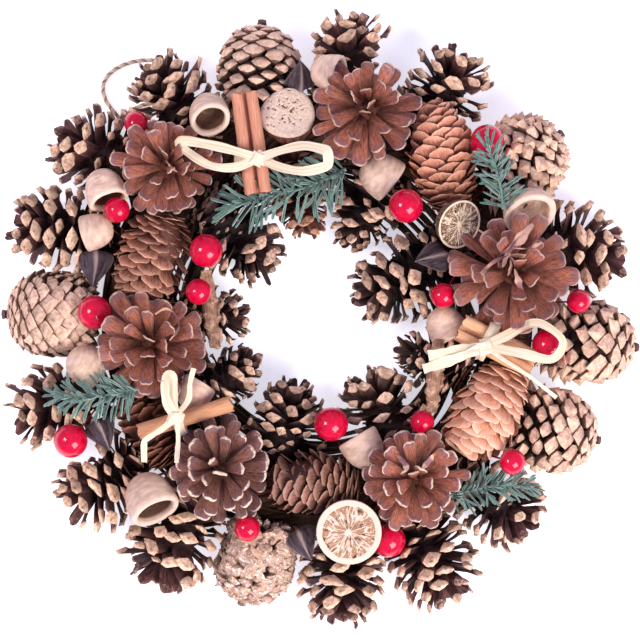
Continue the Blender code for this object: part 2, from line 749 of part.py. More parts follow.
def build_cinnamon(name, x, y, level, heading, rise, length, radius, scrolls):
    """A cinnamon quill: the section's outline, a rolled strip of bark, extruded along the stick."""
    wall = 0.16 * radius
    line = np.array(scroll(radius, scrolls))
    along = np.gradient(line, axis=0)
    across = np.stack([-along[:, 1], along[:, 0]], 1) / np.linalg.norm(along, axis=1)[:, None]
    outline = np.concatenate([line + across * wall / 2 * 1.4, (line - across * wall / 2 * 1.4)[::-1]])
    curve = bpy.data.curves.new(name, "CURVE")
    curve.dimensions = "2D"
    curve.fill_mode = "BOTH"
    curve.extrude = length / 2 * MM
    spline = curve.splines.new("POLY")
    spline.points.add(len(outline) - 1)
    for point, (px, py) in zip(spline.points, outline):
        point.co = (px * MM, py * MM, 0, 1)
    spline.use_cyclic_u = True
    stick = bpy.data.objects.new(name, curve)
    WREATH.objects.link(stick)
    axis = pointing(heading, rise)
    flat = Vector((0, 0, 1)).cross(axis).normalized()
    turn = Matrix((flat, axis.cross(flat), axis)).transposed().to_4x4()
    matrix = Matrix.Translation(Vector((x, y, level))) @ turn
    location, rotation, _ = matrix.decompose()
    stick.location = location * MM
    stick.rotation_mode = "QUATERNION"
    stick.rotation_quaternion = rotation
    curve.materials.append(MATERIALS["cinnamon"])
    bpy.context.view_layer.update()
    ends = [matrix @ Vector((px, py, s * length / 2)) for px, py in outline for s in (-1, 1)]
    return stick, [np.array(ends)], matrix


def build_bow(name, bow, matrix, radius, scrolls):
    """A raffia bow: a band round the stick, a knot above it, then its loops and tails."""
    wide = radius * (2.02 if scrolls == 2 else 1.05)
    tall = radius * 1.05
    clear = RAFFIA_RADIUS + 0.85
    steps = 10
    band = []
    for k in range(steps):
        a = math.tau * k / steps
        band.append(matrix @ Vector(((wide + clear) * math.cos(a), (tall + clear) * math.sin(a), bow["along"])))
    ring = tube(name + "_band", [*band, band[0]], RAFFIA_RADIUS, 0, "raffia")
    top = max(band, key=lambda p: p.z)
    knot_at = top + Vector((0, 0, 1.6))
    bm = bmesh.new()
    bmesh.ops.create_icosphere(bm, subdivisions=1, radius=3.2)
    knot = place(name + "_knot", bm, Matrix.Translation(knot_at), "raffia")
    pieces = [knot, ring]
    hulls = [world_points(knot), world_points(ring)]
    for k, points in enumerate(bow["loops"] + bow["tails"]):
        start = knot_at + Vector((0.3 * k - 0.6, 0.4 - 0.25 * k, 0.35 * k - 0.5))
        strand = tube(name + "_strand", [start + Vector(p) for p in points], RAFFIA_RADIUS, 0, "raffia")
        pieces.append(strand)
        hulls.append(world_points(strand))
    return union(name, pieces, "raffia"), hulls


def build_slice(name, x, y, level, radius, depth, heading, tilt):
    """A dried citrus slice: a raised rind round sunken segments, with a pith core."""
    steps = 14
    profile = [(0, 0.0), (0.22, 0.0), (0.5, -0.3), (0.8, -0.2), (0.84, 0.3), (1.0, 0.1)]
    points = [(r * radius, z) for r, z in profile] + [(0.97 * radius, -depth), (0, -depth)]
    bm = turned(points, steps)
    for v in bm.verts:
        away = math.hypot(v.co.x, v.co.y) / radius
        if 0.4 < away < 0.6 and v.co.z > -depth / 2:
            spoke = round(math.atan2(v.co.y, v.co.x) / (math.tau / steps)) % 2
            v.co.z -= 0.9 * spoke
    up = pointing(heading, 90 - tilt)
    obj = place(name, bm, frame_along(up, (x, y, level)), "citrus")
    return obj, [world_points(obj)]


def build_half(name, x, y, level, radius, depth, heading, tilt):
    """Half of a dried lime: a leathery cup of rind with sunken segments in its cut face."""
    steps = 12
    profile = [(0, -0.6), (0.5, -1.6), (0.82, -1.2), (0.88, 0.2), (1.0, 0.0)]
    rind = [(0.98, -0.28), (0.78, -0.68), (0.42, -0.93), (0, -1.0)]
    points = [(r * radius, z) for r, z in profile] + [(r * radius, z * depth) for r, z in rind]
    bm = turned(points, steps)
    for v in bm.verts:
        away = math.hypot(v.co.x, v.co.y) / radius
        if 0.45 < away < 0.55 and v.co.z > -2.5:
            spoke = round(math.atan2(v.co.y, v.co.x) / (math.tau / steps)) % 2
            v.co.z += 0.9 * spoke
    up = pointing(heading, 90 - tilt)
    obj = place(name, bm, frame_along(up, (x, y, level)), "lime_rind")
    return obj, [world_points(obj)]


def build_spongy_pod():
    """A big seed pod cut flat: a spongy face on a ridged side."""
    r, h = SPONGY_POD["radius"], SPONGY_POD["height"]
    profile = [(0, 0), (0.62 * r, 0), (0.86 * r, 0.45 * h), (r, 0.86 * h), (0.86 * r, 0.97 * h), (0, h)]
    steps = 16
    bm = turned(profile, steps)
    for v in bm.verts:
        ridge = round(math.atan2(v.co.y, v.co.x) / (math.tau / steps)) % 2
        if 0.1 * h < v.co.z < 0.6 * h and ridge:
            v.co.x *= 0.88
            v.co.y *= 0.88
    x, y = SPONGY_POD["at"]
    up = pointing(98, 90 - SPONGY_POD["tilt"])
    lift = 0.62 * r * math.sin(math.radians(SPONGY_POD["tilt"]))
    foot = Vector((x, y, SPONGY_POD["foot"] + lift)) - Vector((up.x, up.y, 0)) * (h * 0.6)
    obj = place("spongy_pod", bm, frame_along(up, foot), "spongy_pod")
    return obj, [world_points(obj)]


def build_sprig(name, stem_points, length, steps, left_share):
    """A fir sprig: a square stem, with needles drawn out of the faces on its two sides."""
    line = smooth_route(stem_points, 1.0)
    line = [line[round(k * (len(line) - 1) / steps)] for k in range(steps + 1)]
    bm = bmesh.new()
    sections = []
    for k, point in enumerate(line):
        along = (line[min(k + 1, steps)] - line[max(k - 1, 0)]).normalized()
        side = Vector((0, 0, 1)).cross(along).normalized()
        up = along.cross(side)
        thick = SPRIG_STEM * (0.5 - 0.2 * k / steps)
        sections.append([bm.verts.new(point + (side * i + up * j) * thick) for i, j in SQUARE])
    sides = {1: [], -1: []}
    for k, (here, there) in enumerate(zip(sections, sections[1:])):
        for n in range(4):
            face = bm.faces.new((here[n], here[(n + 1) % 4], there[(n + 1) % 4], there[n]))
            if n % 2 == 0:
                sides[1 if n == 0 else -1].append((k, face))
    bm.faces.new(sections[0])
    bm.faces.new(sections[-1][::-1])
    for hand, faces in sides.items():
        for k, face in faces:
            if hand == 1 and int((k + 1) * left_share) == int(k * left_share):
                continue
            share = (k + 0.5) / steps
            along = (line[k + 1] - line[k]).normalized()
            side = Vector((0, 0, 1)).cross(along).normalized() * hand
            up = Vector((0, 0, 1))
            lean = math.radians(64 - 46 * share**3)
            way = (side * math.sin(lean) + along * math.cos(lean) + up * (0.16 * math.sin(2.4 * k + hand))).normalized()
            reach = length * (0.85 + 0.15 * math.sin(1.7 * k + hand)) * (1 - 0.3 * share**4)
            tip = face.calc_center_median() + way * reach
            end = bmesh.ops.extrude_discrete_faces(bm, faces=[face])["faces"][0]
            middle = end.calc_center_median()
            for v in end.verts:
                off = v.co - middle
                sides_way = along * (1 if off.dot(along) > 0 else -1)
                v.co = tip + (sides_way + up * (1 if off.z > 0 else -1)) * (NEEDLE_END / 2)
    bmesh.ops.triangulate(bm, faces=[f for f in bm.faces if len(f.verts) > 3])
    sprig = place(name, bm, Matrix.Identity(4), "fir_needle")
    return sprig, [world_points(sprig)]


def build_twine():
    route = smooth_route([(x, y, TWINE_RADIUS + 0.15) for x, y in TWINE_ROUTE], 7.5)
    twine = tube("hanging_twine", route, TWINE_RADIUS, 2, "jute")
    hulls = []
    points = world_points(twine)
    for a, b in zip(route, route[1:]):
        middle = np.array((a + b) / 2)
        near = points[np.linalg.norm(points - middle, axis=1) < 7.0]
        hulls.append(near)
    return twine, hulls


def ring_room(cone, side):
    """Keeps a ring cone outside, or inside, the carrying ring."""
    middle = cone.to_world([Vector((0, 0, cone.length / 2))])[0]
    out = np.array((middle[0], middle[1], 0)) / math.hypot(middle[0], middle[1])
    if side == "outer":
        cone.room.add(-out, -((ring_points @ out).max() + 2 * GAP))
    else:
        cone.room.add(out, (RING_RADIUS - RING_HALF_WIDTH) * math.cos(math.radians(15)) - GAP)


def make_cones():
    """All the cones, with their places but before their rooms are known."""
    cones = []
    for k, (angle, radius, turn, length, width, kind) in enumerate(OUTER_CONES, 1):
        middle = clock(angle, radius, OUTER_LEVEL)
        way = pointing(angle + turn, 0)
        if kind == "domed":
            way = -way
        stalk = middle - way * (length / 2)
        cone = Cone(f"outer_cone_{k:02d}", kind, stalk, way, length, width, "pine_scale", 0.5)
        ring_room(cone, "outer")
        cones.append(cone)
    for k, (angle, radius, turn, length, width) in enumerate(INNER_CONES, 1):
        middle = clock(angle, radius, INNER_LEVEL)
        way = pointing(angle + 180 + turn, 0)
        cone = Cone(f"inner_cone_{k:02d}", "small", middle - way * (length / 2), way, length, width, "pine_scale", 0.4)
        ring_room(cone, "inner")
        cones.append(cone)
    for k, (x, y, width, height, lean_x, lean_y) in enumerate(ROSETTES, 1):
        stalk = Vector((x - lean_x, y - lean_y, WIRE_TOP + 0.5))
        way = Vector((lean_x * 1.6, lean_y * 1.6, height)).normalized()
        cone = Cone(f"rosette_cone_{k}", "rosette", stalk, way, height, width, "rosette_scale", 0.8)
        cone.room.add((0, 0, -1), -(WIRE_TOP + 0.3))
        cones.append(cone)
    for k, (x, y, heading, rise, length, width) in enumerate(SPRUCE_CONES, 1):
        way = pointing(heading, rise)
        middle = Vector((x, y, WIRE_TOP + 0.5 + width * 0.47))
        stalk = middle - way * (length / 2)
        cone = Cone(f"spruce_cone_{k}", "spruce", stalk, way, length, width, "spruce_scale", 0.7)
        cone.room.add((0, 0, -1), -(WIRE_TOP + 0.3))
        cones.append(cone)
    return cones


def divide_space(cones, fixed):
    """Parts every cone from each of its neighbours by a plane. The fixed pieces keep all their room."""
    reach = {c.name: c.to_world(c.reach_points()) for c in cones}
    core = {c.name: c.to_world(c.core_points()) for c in cones}
    troubles = []
    for i, a in enumerate(cones):
        for b in cones[i + 1 :]:
            if (reach[a.name].min(0) > reach[b.name].max(0)).any() or (
                reach[b.name].min(0) > reach[a.name].max(0)
            ).any():
                continue
            keep = a.rank / (a.rank + b.rank)
            normal, level, score = parting(reach[a.name], core[a.name], reach[b.name], core[b.name], keep)
            if score < -100:
                troubles.append((a.name, b.name, round(float(score + 500), 1)))
            a.room.add(normal, level - GAP)
            b.room.add(-normal, -(level + GAP))
        for owner, hull in fixed:
            if (reach[a.name].min(0) > hull.max(0)).any() or (hull.min(0) > reach[a.name].max(0)).any():
                continue
            a.room.near.append(hull)
            gap = ((hull @ DIRECTIONS.T).min(0) - (core[a.name] @ DIRECTIONS.T).max(0)).max()
            if gap < CORE_GAP:
                troubles.append((a.name, owner, round(float(gap), 1), *hull.mean(0).round().astype(int)))
    return troubles


clear_scene()
WREATH = make_collections()
MATERIALS = {name: make_material(name) for name in COLOURS}

fixed_pieces = []


def keep(name, made):
    fixed_pieces.extend((name, hull) for hull in made[1])
    return made[0]


ring_points = world_points(build_ring())
keep("hanging_twine", build_twine())
for berry_name, berry_list in BERRY_SPRAYS.items():
    keep(berry_name, build_berries(berry_name, berry_list))
for pod_name, pod_list in POD_SPRAYS.items():
    keep(pod_name, build_pods(pod_name, pod_list))
for number, (stick_sizes, bow_plan) in enumerate(zip(CINNAMON, BOWS), 1):
    stick_object, stick_hulls, stick_matrix = build_cinnamon(f"cinnamon_stick_{number}", *stick_sizes)
    fixed_pieces.extend((stick_object.name, hull) for hull in stick_hulls)
    keep(f"raffia_bow_{number}", build_bow(f"raffia_bow_{number}", bow_plan, stick_matrix, *stick_sizes[6:]))
keep("citrus_slice", build_slice("citrus_slice", *FRUIT["citrus_slice"]))
keep("dried_lime_half", build_half("dried_lime_half", *FRUIT["dried_lime_half"]))
keep("spongy_pod", build_spongy_pod())
for sprig_name, sprig_plan in SPRIGS.items():
    keep(sprig_name, build_sprig(sprig_name, *sprig_plan))

all_cones = make_cones()
crowded = divide_space(all_cones, fixed_pieces)
for cone in all_cones:
    cone.build()
for pair in crowded:
    print("too close:", *pair)

# The origin is the middle of the wreath's own box, without the hanging twine, at the height of the surface
box_points = np.vstack([world_points(obj) for obj in WREATH.objects if obj.name != "hanging_twine" and obj.type == "MESH"])
shift = (box_points.min(0) + box_points.max(0)) / 2 * MM
for obj in WREATH.objects:
    obj.location.x -= shift[0]
    obj.location.y -= shift[1]
print("moved by", *(round(float(v) / MM, 3) for v in -shift[:2]), "mm")
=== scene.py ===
import math

import bpy
import numpy as np
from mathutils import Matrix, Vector, noise
from mathutils.bvhtree import BVHTree


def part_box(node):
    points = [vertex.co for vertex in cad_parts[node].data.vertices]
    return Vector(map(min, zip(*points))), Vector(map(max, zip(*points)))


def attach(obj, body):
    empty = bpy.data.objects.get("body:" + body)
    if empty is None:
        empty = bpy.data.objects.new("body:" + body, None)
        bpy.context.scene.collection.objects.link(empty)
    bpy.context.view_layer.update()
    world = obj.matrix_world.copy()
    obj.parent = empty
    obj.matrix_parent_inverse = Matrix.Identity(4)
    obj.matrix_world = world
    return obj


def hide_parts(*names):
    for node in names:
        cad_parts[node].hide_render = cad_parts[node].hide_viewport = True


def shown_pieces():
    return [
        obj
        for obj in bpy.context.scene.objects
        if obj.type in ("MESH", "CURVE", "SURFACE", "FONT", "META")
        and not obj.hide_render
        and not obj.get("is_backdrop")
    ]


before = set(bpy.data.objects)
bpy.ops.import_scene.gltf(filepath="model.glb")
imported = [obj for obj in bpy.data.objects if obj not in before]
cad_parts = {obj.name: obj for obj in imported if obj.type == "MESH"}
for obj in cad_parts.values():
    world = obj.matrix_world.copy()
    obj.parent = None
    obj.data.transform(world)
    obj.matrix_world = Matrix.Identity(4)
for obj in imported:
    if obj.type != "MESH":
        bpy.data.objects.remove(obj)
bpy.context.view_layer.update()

# Lengths here are millimetres and angles degrees, as seen from above with the photograph's upper edge at +Y
mm = 0.001
ringLow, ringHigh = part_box("base_ring")
wreathMiddle = np.array([(ringLow.x + ringHigh.x) / 2, (ringLow.y + ringHigh.y) / 2, 0]) / mm
goldenAngle = math.radians(137.508)


def hexColour(text):
    # sRGB hex to the linear colour that a socket holds
    parts = [int(text[k : k + 2], 16) / 255 for k in (1, 3, 5)]
    return (*[p / 12.92 if p <= 0.04045 else ((p + 0.055) / 1.055) ** 2.4 for p in parts], 1)


def newMaterial(name):
    material = bpy.data.materials.new(name)
    material.use_nodes = True
    return material, material.node_tree, material.node_tree.nodes["Principled BSDF"]


def addNode(tree, kind, settings=None, links=None):
    # kind is the type of a new node, or a node that is there already, such as the shader. Settings are the
    # node's own properties or default values of its inputs, and links join its inputs to other outputs
    node = tree.nodes.new(kind) if isinstance(kind, str) else kind
    settings = dict(settings or {})
    stops = settings.pop("stops", None)
    for key, value in settings.items():
        if isinstance(key, str) and hasattr(node, key):
            setattr(node, key, value)
        else:
            node.inputs[key].default_value = value
    if stops:
        ramp = node.color_ramp.elements
        while len(ramp) < len(stops):
            ramp.new(0.5)
        for element, (at, colour) in zip(ramp, stops):
            element.position, element.color = at, colour
    for key, (source, output) in (links or {}).items():
        tree.links.new(source.outputs[output], node.inputs[key])
    return node


def onClock(angle, radius, level=0.0):
    a = math.radians(angle)
    return np.array([radius * math.cos(a), radius * math.sin(a), level])


def pointing(heading, rise):
    h, r = math.radians(heading), math.radians(rise)
    return np.array([math.cos(h) * math.cos(r), math.sin(h) * math.cos(r), math.sin(r)])


def unit(v):
    v = np.asarray(v, float)
    return v / np.maximum(np.linalg.norm(v, axis=-1, keepdims=True), 1e-9)


def placedAlong(points, direction, origin):
    # turns points drawn round +Z so that +Z lies along the direction, and moves them to the origin
    turn = np.array(Vector(direction).to_track_quat("Z", "Y").to_matrix())
    return np.asarray(points) @ turn.T + np.asarray(origin, float)


def smoothLine(points, spacing):
    # evenly spaced points on a smooth curve through the given ones
    p = np.asarray(points, float)
    ends = np.vstack([2 * p[0] - p[1], p, 2 * p[-1] - p[-2]])
    t = np.linspace(0, 1, 12, endpoint=False)[:, None]
    fine = []
    for a, b, c, d in zip(ends, ends[1:], ends[2:], ends[3:]):
        square, cube = 2 * a - 5 * b + 4 * c - d, 3 * b - a - 3 * c + d
        fine.append(0.5 * (2 * b + (c - a) * t + square * t**2 + cube * t**3))
    fine = np.vstack([*fine, p[-1:]])
    run = np.concatenate([[0], np.cumsum(np.linalg.norm(np.diff(fine, axis=0), axis=1))])
    wanted = np.linspace(0, run[-1], max(3, round(run[-1] / spacing) + 1))
    return np.stack([np.interp(wanted, run, fine[:, k]) for k in range(fine.shape[1])], 1)


def loftFaces(count, sides):
    # faces of a closed tube: point 0 closes its start, the last point its end, and its rings lie between
    i, j = np.meshgrid(np.arange(count - 1), np.arange(sides), indexing="ij")
    a, b = 1 + i * sides + j, 1 + i * sides + (j + 1) % sides
    quads = np.stack([a, b, b + sides, a + sides], -1).reshape(-1, 4)
    k, after = np.arange(sides), (np.arange(sides) + 1) % sides
    last = 1 + count * sides
    start = np.stack([np.zeros(sides, int), 1 + after, 1 + k], 1)
    end = np.stack([np.full(sides, last), last - sides + k, last - sides + after], 1)
    return [quads, np.vstack([start, end])]


def loft(rings, material=0, grain=None, **marks):
    # rings are count x sides x 3, counter-clockwise seen from the end they lead to, and marks hold one value
    # for each of their points
    rings = np.asarray(rings, float)
    count, sides = rings.shape[:2]

    def closed(values):
        values = np.asarray(values, float)
        flat = values.reshape(-1, *values.shape[2:])
        return np.concatenate([values[0].mean(0)[None], flat, values[-1].mean(0)[None]])

    chunk = {"points": closed(rings), "faces": loftFaces(count, sides), "material": material}
    chunk["grain"] = closed(rings if grain is None else grain)
    for key, values in marks.items():
        chunk[key] = closed(np.broadcast_to(values, (count, sides)))
    return chunk


def circle(sides, turn=0.0):
    a = np.arange(sides) * math.tau / sides + turn
    return np.stack([np.cos(a), np.sin(a)], 1)


def turnedRings(profile, sides, spacing=None):
    # a profile of radius and height, turned about +Z
    profile = np.asarray(profile, float)
    if spacing:
        profile = smoothLine(profile, spacing)
    rim = circle(sides)
    r, z = np.maximum(profile[:, 0], 0.01), profile[:, 1]
    height = np.broadcast_to(z[:, None, None], (len(r), sides, 1))
    return np.concatenate([r[:, None, None] * rim[None], height], 2)


def alongLine(line, section, up=(0, 0, 1), spin=0.0, size=1.0):
    # sections (sides x 2, or one for each point) set square to a line, their first axis across and level
    line = np.asarray(line, float)
    tangent = unit(np.gradient(line, axis=0))
    across = unit(np.cross(np.broadcast_to(up, line.shape), tangent))
    over = np.cross(tangent, across)
    spin, size = np.broadcast_to(spin, len(line)), np.broadcast_to(size, len(line))
    c, s = np.cos(spin)[:, None], np.sin(spin)[:, None]
    across, over = across * c + over * s, over * c - across * s
    section = np.broadcast_to(section, (len(line), *np.asarray(section).shape[-2:])) * size[:, None, None]
    return line[:, None] + across[:, None] * section[:, :, :1] + over[:, None] * section[:, :, 1:]


def makePiece(name, chunks, materials, nodes, sharp=40):
    # joins chunks into one mesh, which rides on the wreath and stands for its CAD node
    starts = np.cumsum([0] + [len(c["points"]) for c in chunks])
    points = (np.vstack([c["points"] for c in chunks]) + wreathMiddle) * mm
    faces = [(f + start, c.get("material", 0)) for c, start in zip(chunks, starts) for f in c["faces"]]
    corners = np.concatenate([f.ravel() for f, _ in faces]).astype(np.int32)
    sizes = np.concatenate([np.full(len(f), f.shape[1]) for f, _ in faces])
    mesh = bpy.data.meshes.new(name)
    mesh.vertices.add(len(points))
    mesh.vertices.foreach_set("co", points.astype(np.float32).ravel())
    mesh.loops.add(len(corners))
    mesh.loops.foreach_set("vertex_index", corners)
    mesh.polygons.add(len(sizes))
    mesh.polygons.foreach_set("loop_start", np.concatenate([[0], np.cumsum(sizes)[:-1]]).astype(np.int32))
    slots = np.concatenate([np.full(len(f), m) for f, m in faces])
    mesh.polygons.foreach_set("material_index", slots.astype(np.int32))
    mesh.update(calc_edges=True)
    mesh.polygons.foreach_set("use_smooth", np.ones(len(sizes), bool))
    mesh.set_sharp_from_angle(angle=math.radians(sharp))
    grain = mesh.attributes.new("grain", "FLOAT_VECTOR", "POINT")
    grain.data.foreach_set("vector", np.vstack([c["grain"] for c in chunks]).astype(np.float32).ravel())
    for mark in ("end", "edge", "tone"):
        values = np.concatenate([np.broadcast_to(c.get(mark, 0.0), len(c["points"])) for c in chunks])
        mesh.attributes.new(mark, "FLOAT", "POINT").data.foreach_set("value", values.astype(np.float32))
    for material in materials:
        mesh.materials.append(material)
    piece = bpy.data.objects.new(name, mesh)
    bpy.context.scene.collection.objects.link(piece)
    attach(piece, "root")
    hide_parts(*nodes)
    return piece


# The camera looks straight down, as in the photograph, whose 640 pixels are 345.6 mm at the cones' level
view = {"acrossMm": 345.6, "levelMm": 40.0, "distanceMm": 1900.0, "sensorMm": 36.0, "lowerMm": 1.08}
camera = bpy.data.objects.new("camera", bpy.data.cameras.new("camera"))
camera.data.sensor_width = view["sensorMm"]
camera.data.lens = view["sensorMm"] * view["distanceMm"] / view["acrossMm"]
camera.data.clip_start, camera.data.clip_end = 0.05, 20
camera.location = (
    wreathMiddle[0] * mm,
    (wreathMiddle[1] - view["lowerMm"]) * mm,
    (view["levelMm"] + view["distanceMm"]) * mm,
)
bpy.context.scene.collection.objects.link(camera)
bpy.context.scene.camera = camera


# Twisted or peeled plant fibre, dull: noise drawn out along the strand gives its fibres, and tone makes one
# strand lighter than the next
def fibreMaterial(name, look):
    material, tree, shader = newMaterial(name)
    grain, tone = (addNode(tree, "ShaderNodeAttribute", {"attribute_name": key}) for key in ("grain", "tone"))
    drawn = addNode(
        tree, "ShaderNodeVectorMath", {"operation": "MULTIPLY", 1: look["stretch"]}, {0: (grain, "Vector")}
    )
    noiseSettings = {"Scale": 1 / look["fibreMm"], "Detail": look["detail"]}
    fibres = addNode(tree, "ShaderNodeTexNoise", noiseSettings, {"Vector": (drawn, 0)})
    mixing = {"operation": "MULTIPLY_ADD", 1: look["toneShare"]}
    mixed = addNode(tree, "ShaderNodeMath", mixing, {0: (tone, "Fac"), 2: (fibres, "Fac")})
    stops = [(at, hexColour(colour)) for at, colour in look["colours"]]
    colour = addNode(tree, "ShaderNodeValToRGB", {"stops": stops}, {"Fac": (mixed, 0)})
    relief = {"Strength": look["bump"], "Distance": look["bumpMm"] * mm}
    bump = addNode(tree, "ShaderNodeBump", relief, {"Height": (fibres, "Fac")})
    settings = {"Roughness": look["rough"], "Sheen Weight": look["sheen"]}
    addNode(tree, shader, settings, {"Base Color": (colour, "Color"), "Normal": (bump, "Normal")})
    return material


# Jute: three plies of coarse bast fibre, twisted, so it shows slanting light and dark plies and fine fuzz
twistedJute = {
    "colours": [(0.45, "#a68062"), (1.05, "#fae6c8")], "stretch": (1, 1, 0.12), "fibreMm": 0.35,
    "detail": 3.0, "toneShare": 0.7, "bump": 0.7, "bumpMm": 0.12, "rough": 0.9, "sheen": 0.0,
}


def buildTwine():
    plan = {
        "route": [
            (-76.2, 83.2), (-83, 90.5), (-90, 96.5), (-98, 102), (-106.5, 107), (-113, 113), (-118, 120),
            (-119.5, 128), (-115.5, 135), (-107, 140), (-97, 142), (-87, 141), (-79, 136.5), (-77, 129),
            (-81, 122.5), (-89, 119), (-98, 117.2), (-106, 112.5), (-105.5, 105), (-97.5, 96), (-89.5, 87.5),
            (-81.2, 78.3),
        ],
        "level": 1.4, "radius": 1.25, "plies": 3, "plyRadius": 0.72, "pitch": 5.2, "spacing": 0.7, "sides": 7,
        "lengthM": 0.2,
    }
    line = smoothLine([(x, y, plan["level"]) for x, y in plan["route"]], plan["spacing"])
    run = np.arange(len(line)) * plan["spacing"]
    rim = circle(plan["sides"])
    chunks = []
    for ply in range(plan["plies"]):
        turn = math.tau * (run / plan["pitch"] + ply / plan["plies"])
        offset = np.stack([np.cos(turn), np.sin(turn)], 1)[:, None] * (plan["radius"] - plan["plyRadius"])
        middle = alongLine(line, offset)[:, 0]
        rings = alongLine(middle, rim * plan["plyRadius"])
        grain = np.stack(np.broadcast_arrays(rim[:, 0] + 9 * ply, rim[:, 1], run[:, None]), -1)
        chunks.append(loft(rings, grain=grain, tone=(1.0, 0.0, 0.5)[ply]))
    material = fibreMaterial("twistedJute", twistedJute)
    twine = makePiece("juteLoop", chunks, [material], ["hanging_twine"], sharp=180)
    path = (line + wreathMiddle) * mm
    return float(np.linalg.norm(np.diff(path, axis=0), axis=1).sum())


print("twine", round(buildTwine(), 4), "m")


# Every cone has room up to a flat plane between it and each neighbour, and around the pieces that lie in it
room = {
    "gap": 0.12,  # from a plane to the nearest scale
    "floor": 0.6,  # the lowest level of a cone beside the ring
    "ringTop": 22.5,  # the lowest level of a cone that stands or lies on the ring
    "reach": 9,  # two cones are neighbours if their boxes are this close
    "clear": 0.15,  # from a berry, cup or wire to a scale's probes
    "probes": 26,  # the points on a scale that are held against them
    "step": 0.08,  # a scale in the way is shortened by this share of its length at a time
    "soft": 2,  # the depth over which pressed scales give way
}


def evenDirections(count):
    found = []
    for k in range(count):
        z = 1 - 2 * (k + 0.5) / count
        flat = math.sqrt(1 - z * z)
        found.append((math.cos(k * goldenAngle) * flat, math.sin(k * goldenAngle) * flat, z))
    return np.array(found)


directions = evenDirections(700)
nodePoints = {}
for nodeName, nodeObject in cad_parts.items():
    raw = np.zeros(len(nodeObject.data.vertices) * 3, np.float32)
    nodeObject.data.vertices.foreach_get("co", raw)
    nodePoints[nodeName] = raw.reshape(-1, 3).astype(float) / mm - wreathMiddle
coneNodes = [n for n in nodePoints if "cone" in n]
dressingTrees = []
for nodeName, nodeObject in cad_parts.items():
    if nodeName not in coneNodes and nodeName != "hanging_twine":
        polygons = [tuple(p.vertices) for p in nodeObject.data.polygons]
        tree = BVHTree.FromPolygons([Vector(p) for p in nodePoints[nodeName]], polygons)
        dressingTrees.append((tree, nodePoints[nodeName].min(0), nodePoints[nodeName].max(0)))


def partingPlane(mine, theirs):
    # the plane with the widest gap between two sets of points: its normal, towards theirs, and its level
    best = None
    for spread in (None, 0.15, 0.05, 0.015, 0.004):
        tries = directions if spread is None else unit(best[1] + spread * directions[::4])
        far, near = (mine @ tries.T).max(0), (theirs @ tries.T).min(0)
        k = int((near - far).argmax())
        if best is None or near[k] - far[k] > best[0]:
            best = (near[k] - far[k], tries[k], (near[k] + far[k]) / 2)
    return best[1], best[2]


def roomOf(name):
    mine = nodePoints[name]
    low, high = mine.min(0) - room["reach"], mine.max(0)
    floor = room["ringTop"] if name.startswith(("rosette", "spruce")) else room["floor"]
    planes = [(np.array([0, 0, -1.0]), -floor)]
    for other in coneNodes:
        theirs = nodePoints[other]
        if other == name or (low > theirs.max(0)).any() or (theirs.min(0) - room["reach"] > high).any():
            continue
        normal, level = partingPlane(mine, theirs)
        planes.append((normal, level - room["gap"]))
    return planes


def insideDressing(points, near):
    for point in points:
        for tree in near:
            place, normal = tree.find_nearest(Vector(point), 30)[:2]
            if place is not None and (Vector(point) - place).dot(normal) < room["clear"]:
                return True
    return False


def pressed(points, planes):
    # where a cone lies against its neighbour, its outer 2 mm are pressed together and none passes the plane
    soft = room["soft"]
    for normal, level in planes:
        depth = level - points @ normal
        eased = np.where(depth < soft, soft * np.exp(np.minimum(depth, soft) / soft - 1), depth)
        points = points + (depth - eased)[..., None] * normal
    return points


def keepInRoom(scales, roots, planes, least, press):
    # draws each scale back towards its root until it is in its cone's room, and drops one with too little
    # left. Where a cone gives way, by up to press, its scales are pressed together at its neighbours
    stub = 0.45 if press > 4 else 0.3  # the share that a berry, cup or wire on the cone leaves of a scale
    share = np.ones(len(scales))
    for normal, level in planes:
        start = level - roots @ normal
        travel = scales @ normal - (roots @ normal)[:, None]
        worst = travel.max(1)
        ratio = np.where(worst > 1e-6, start / np.maximum(worst, 1e-6), 1.0)
        if press:
            ratio = np.where(start < -press, 0.0, np.maximum(ratio, 0.6))
        else:
            ratio = np.where(start < 0.4, 0.0, ratio)
        share = np.minimum(share, ratio)
    if press:
        scales, roots = pressed(scales, planes), pressed(roots, planes)
    probe = np.linspace(1, scales.shape[1] - 1, room["probes"]).astype(int)
    for k in range(len(scales)):
        if share[k] < least:
            continue
        reach = roots[k] + (scales[k] - roots[k]) * share[k]
        low, high = reach.min(0), reach.max(0)
        near = [t for t, a, b in dressingTrees if (low < b).all() and (high > a).all()]
        while near and share[k] >= stub:
            if not insideDressing(roots[k] + (scales[k, probe] - roots[k]) * share[k], near):
                break
            share[k] -= room["step"]
    kept = share >= least
    return roots[kept, None] + (scales[kept] - roots[kept, None]) * share[kept, None, None], kept


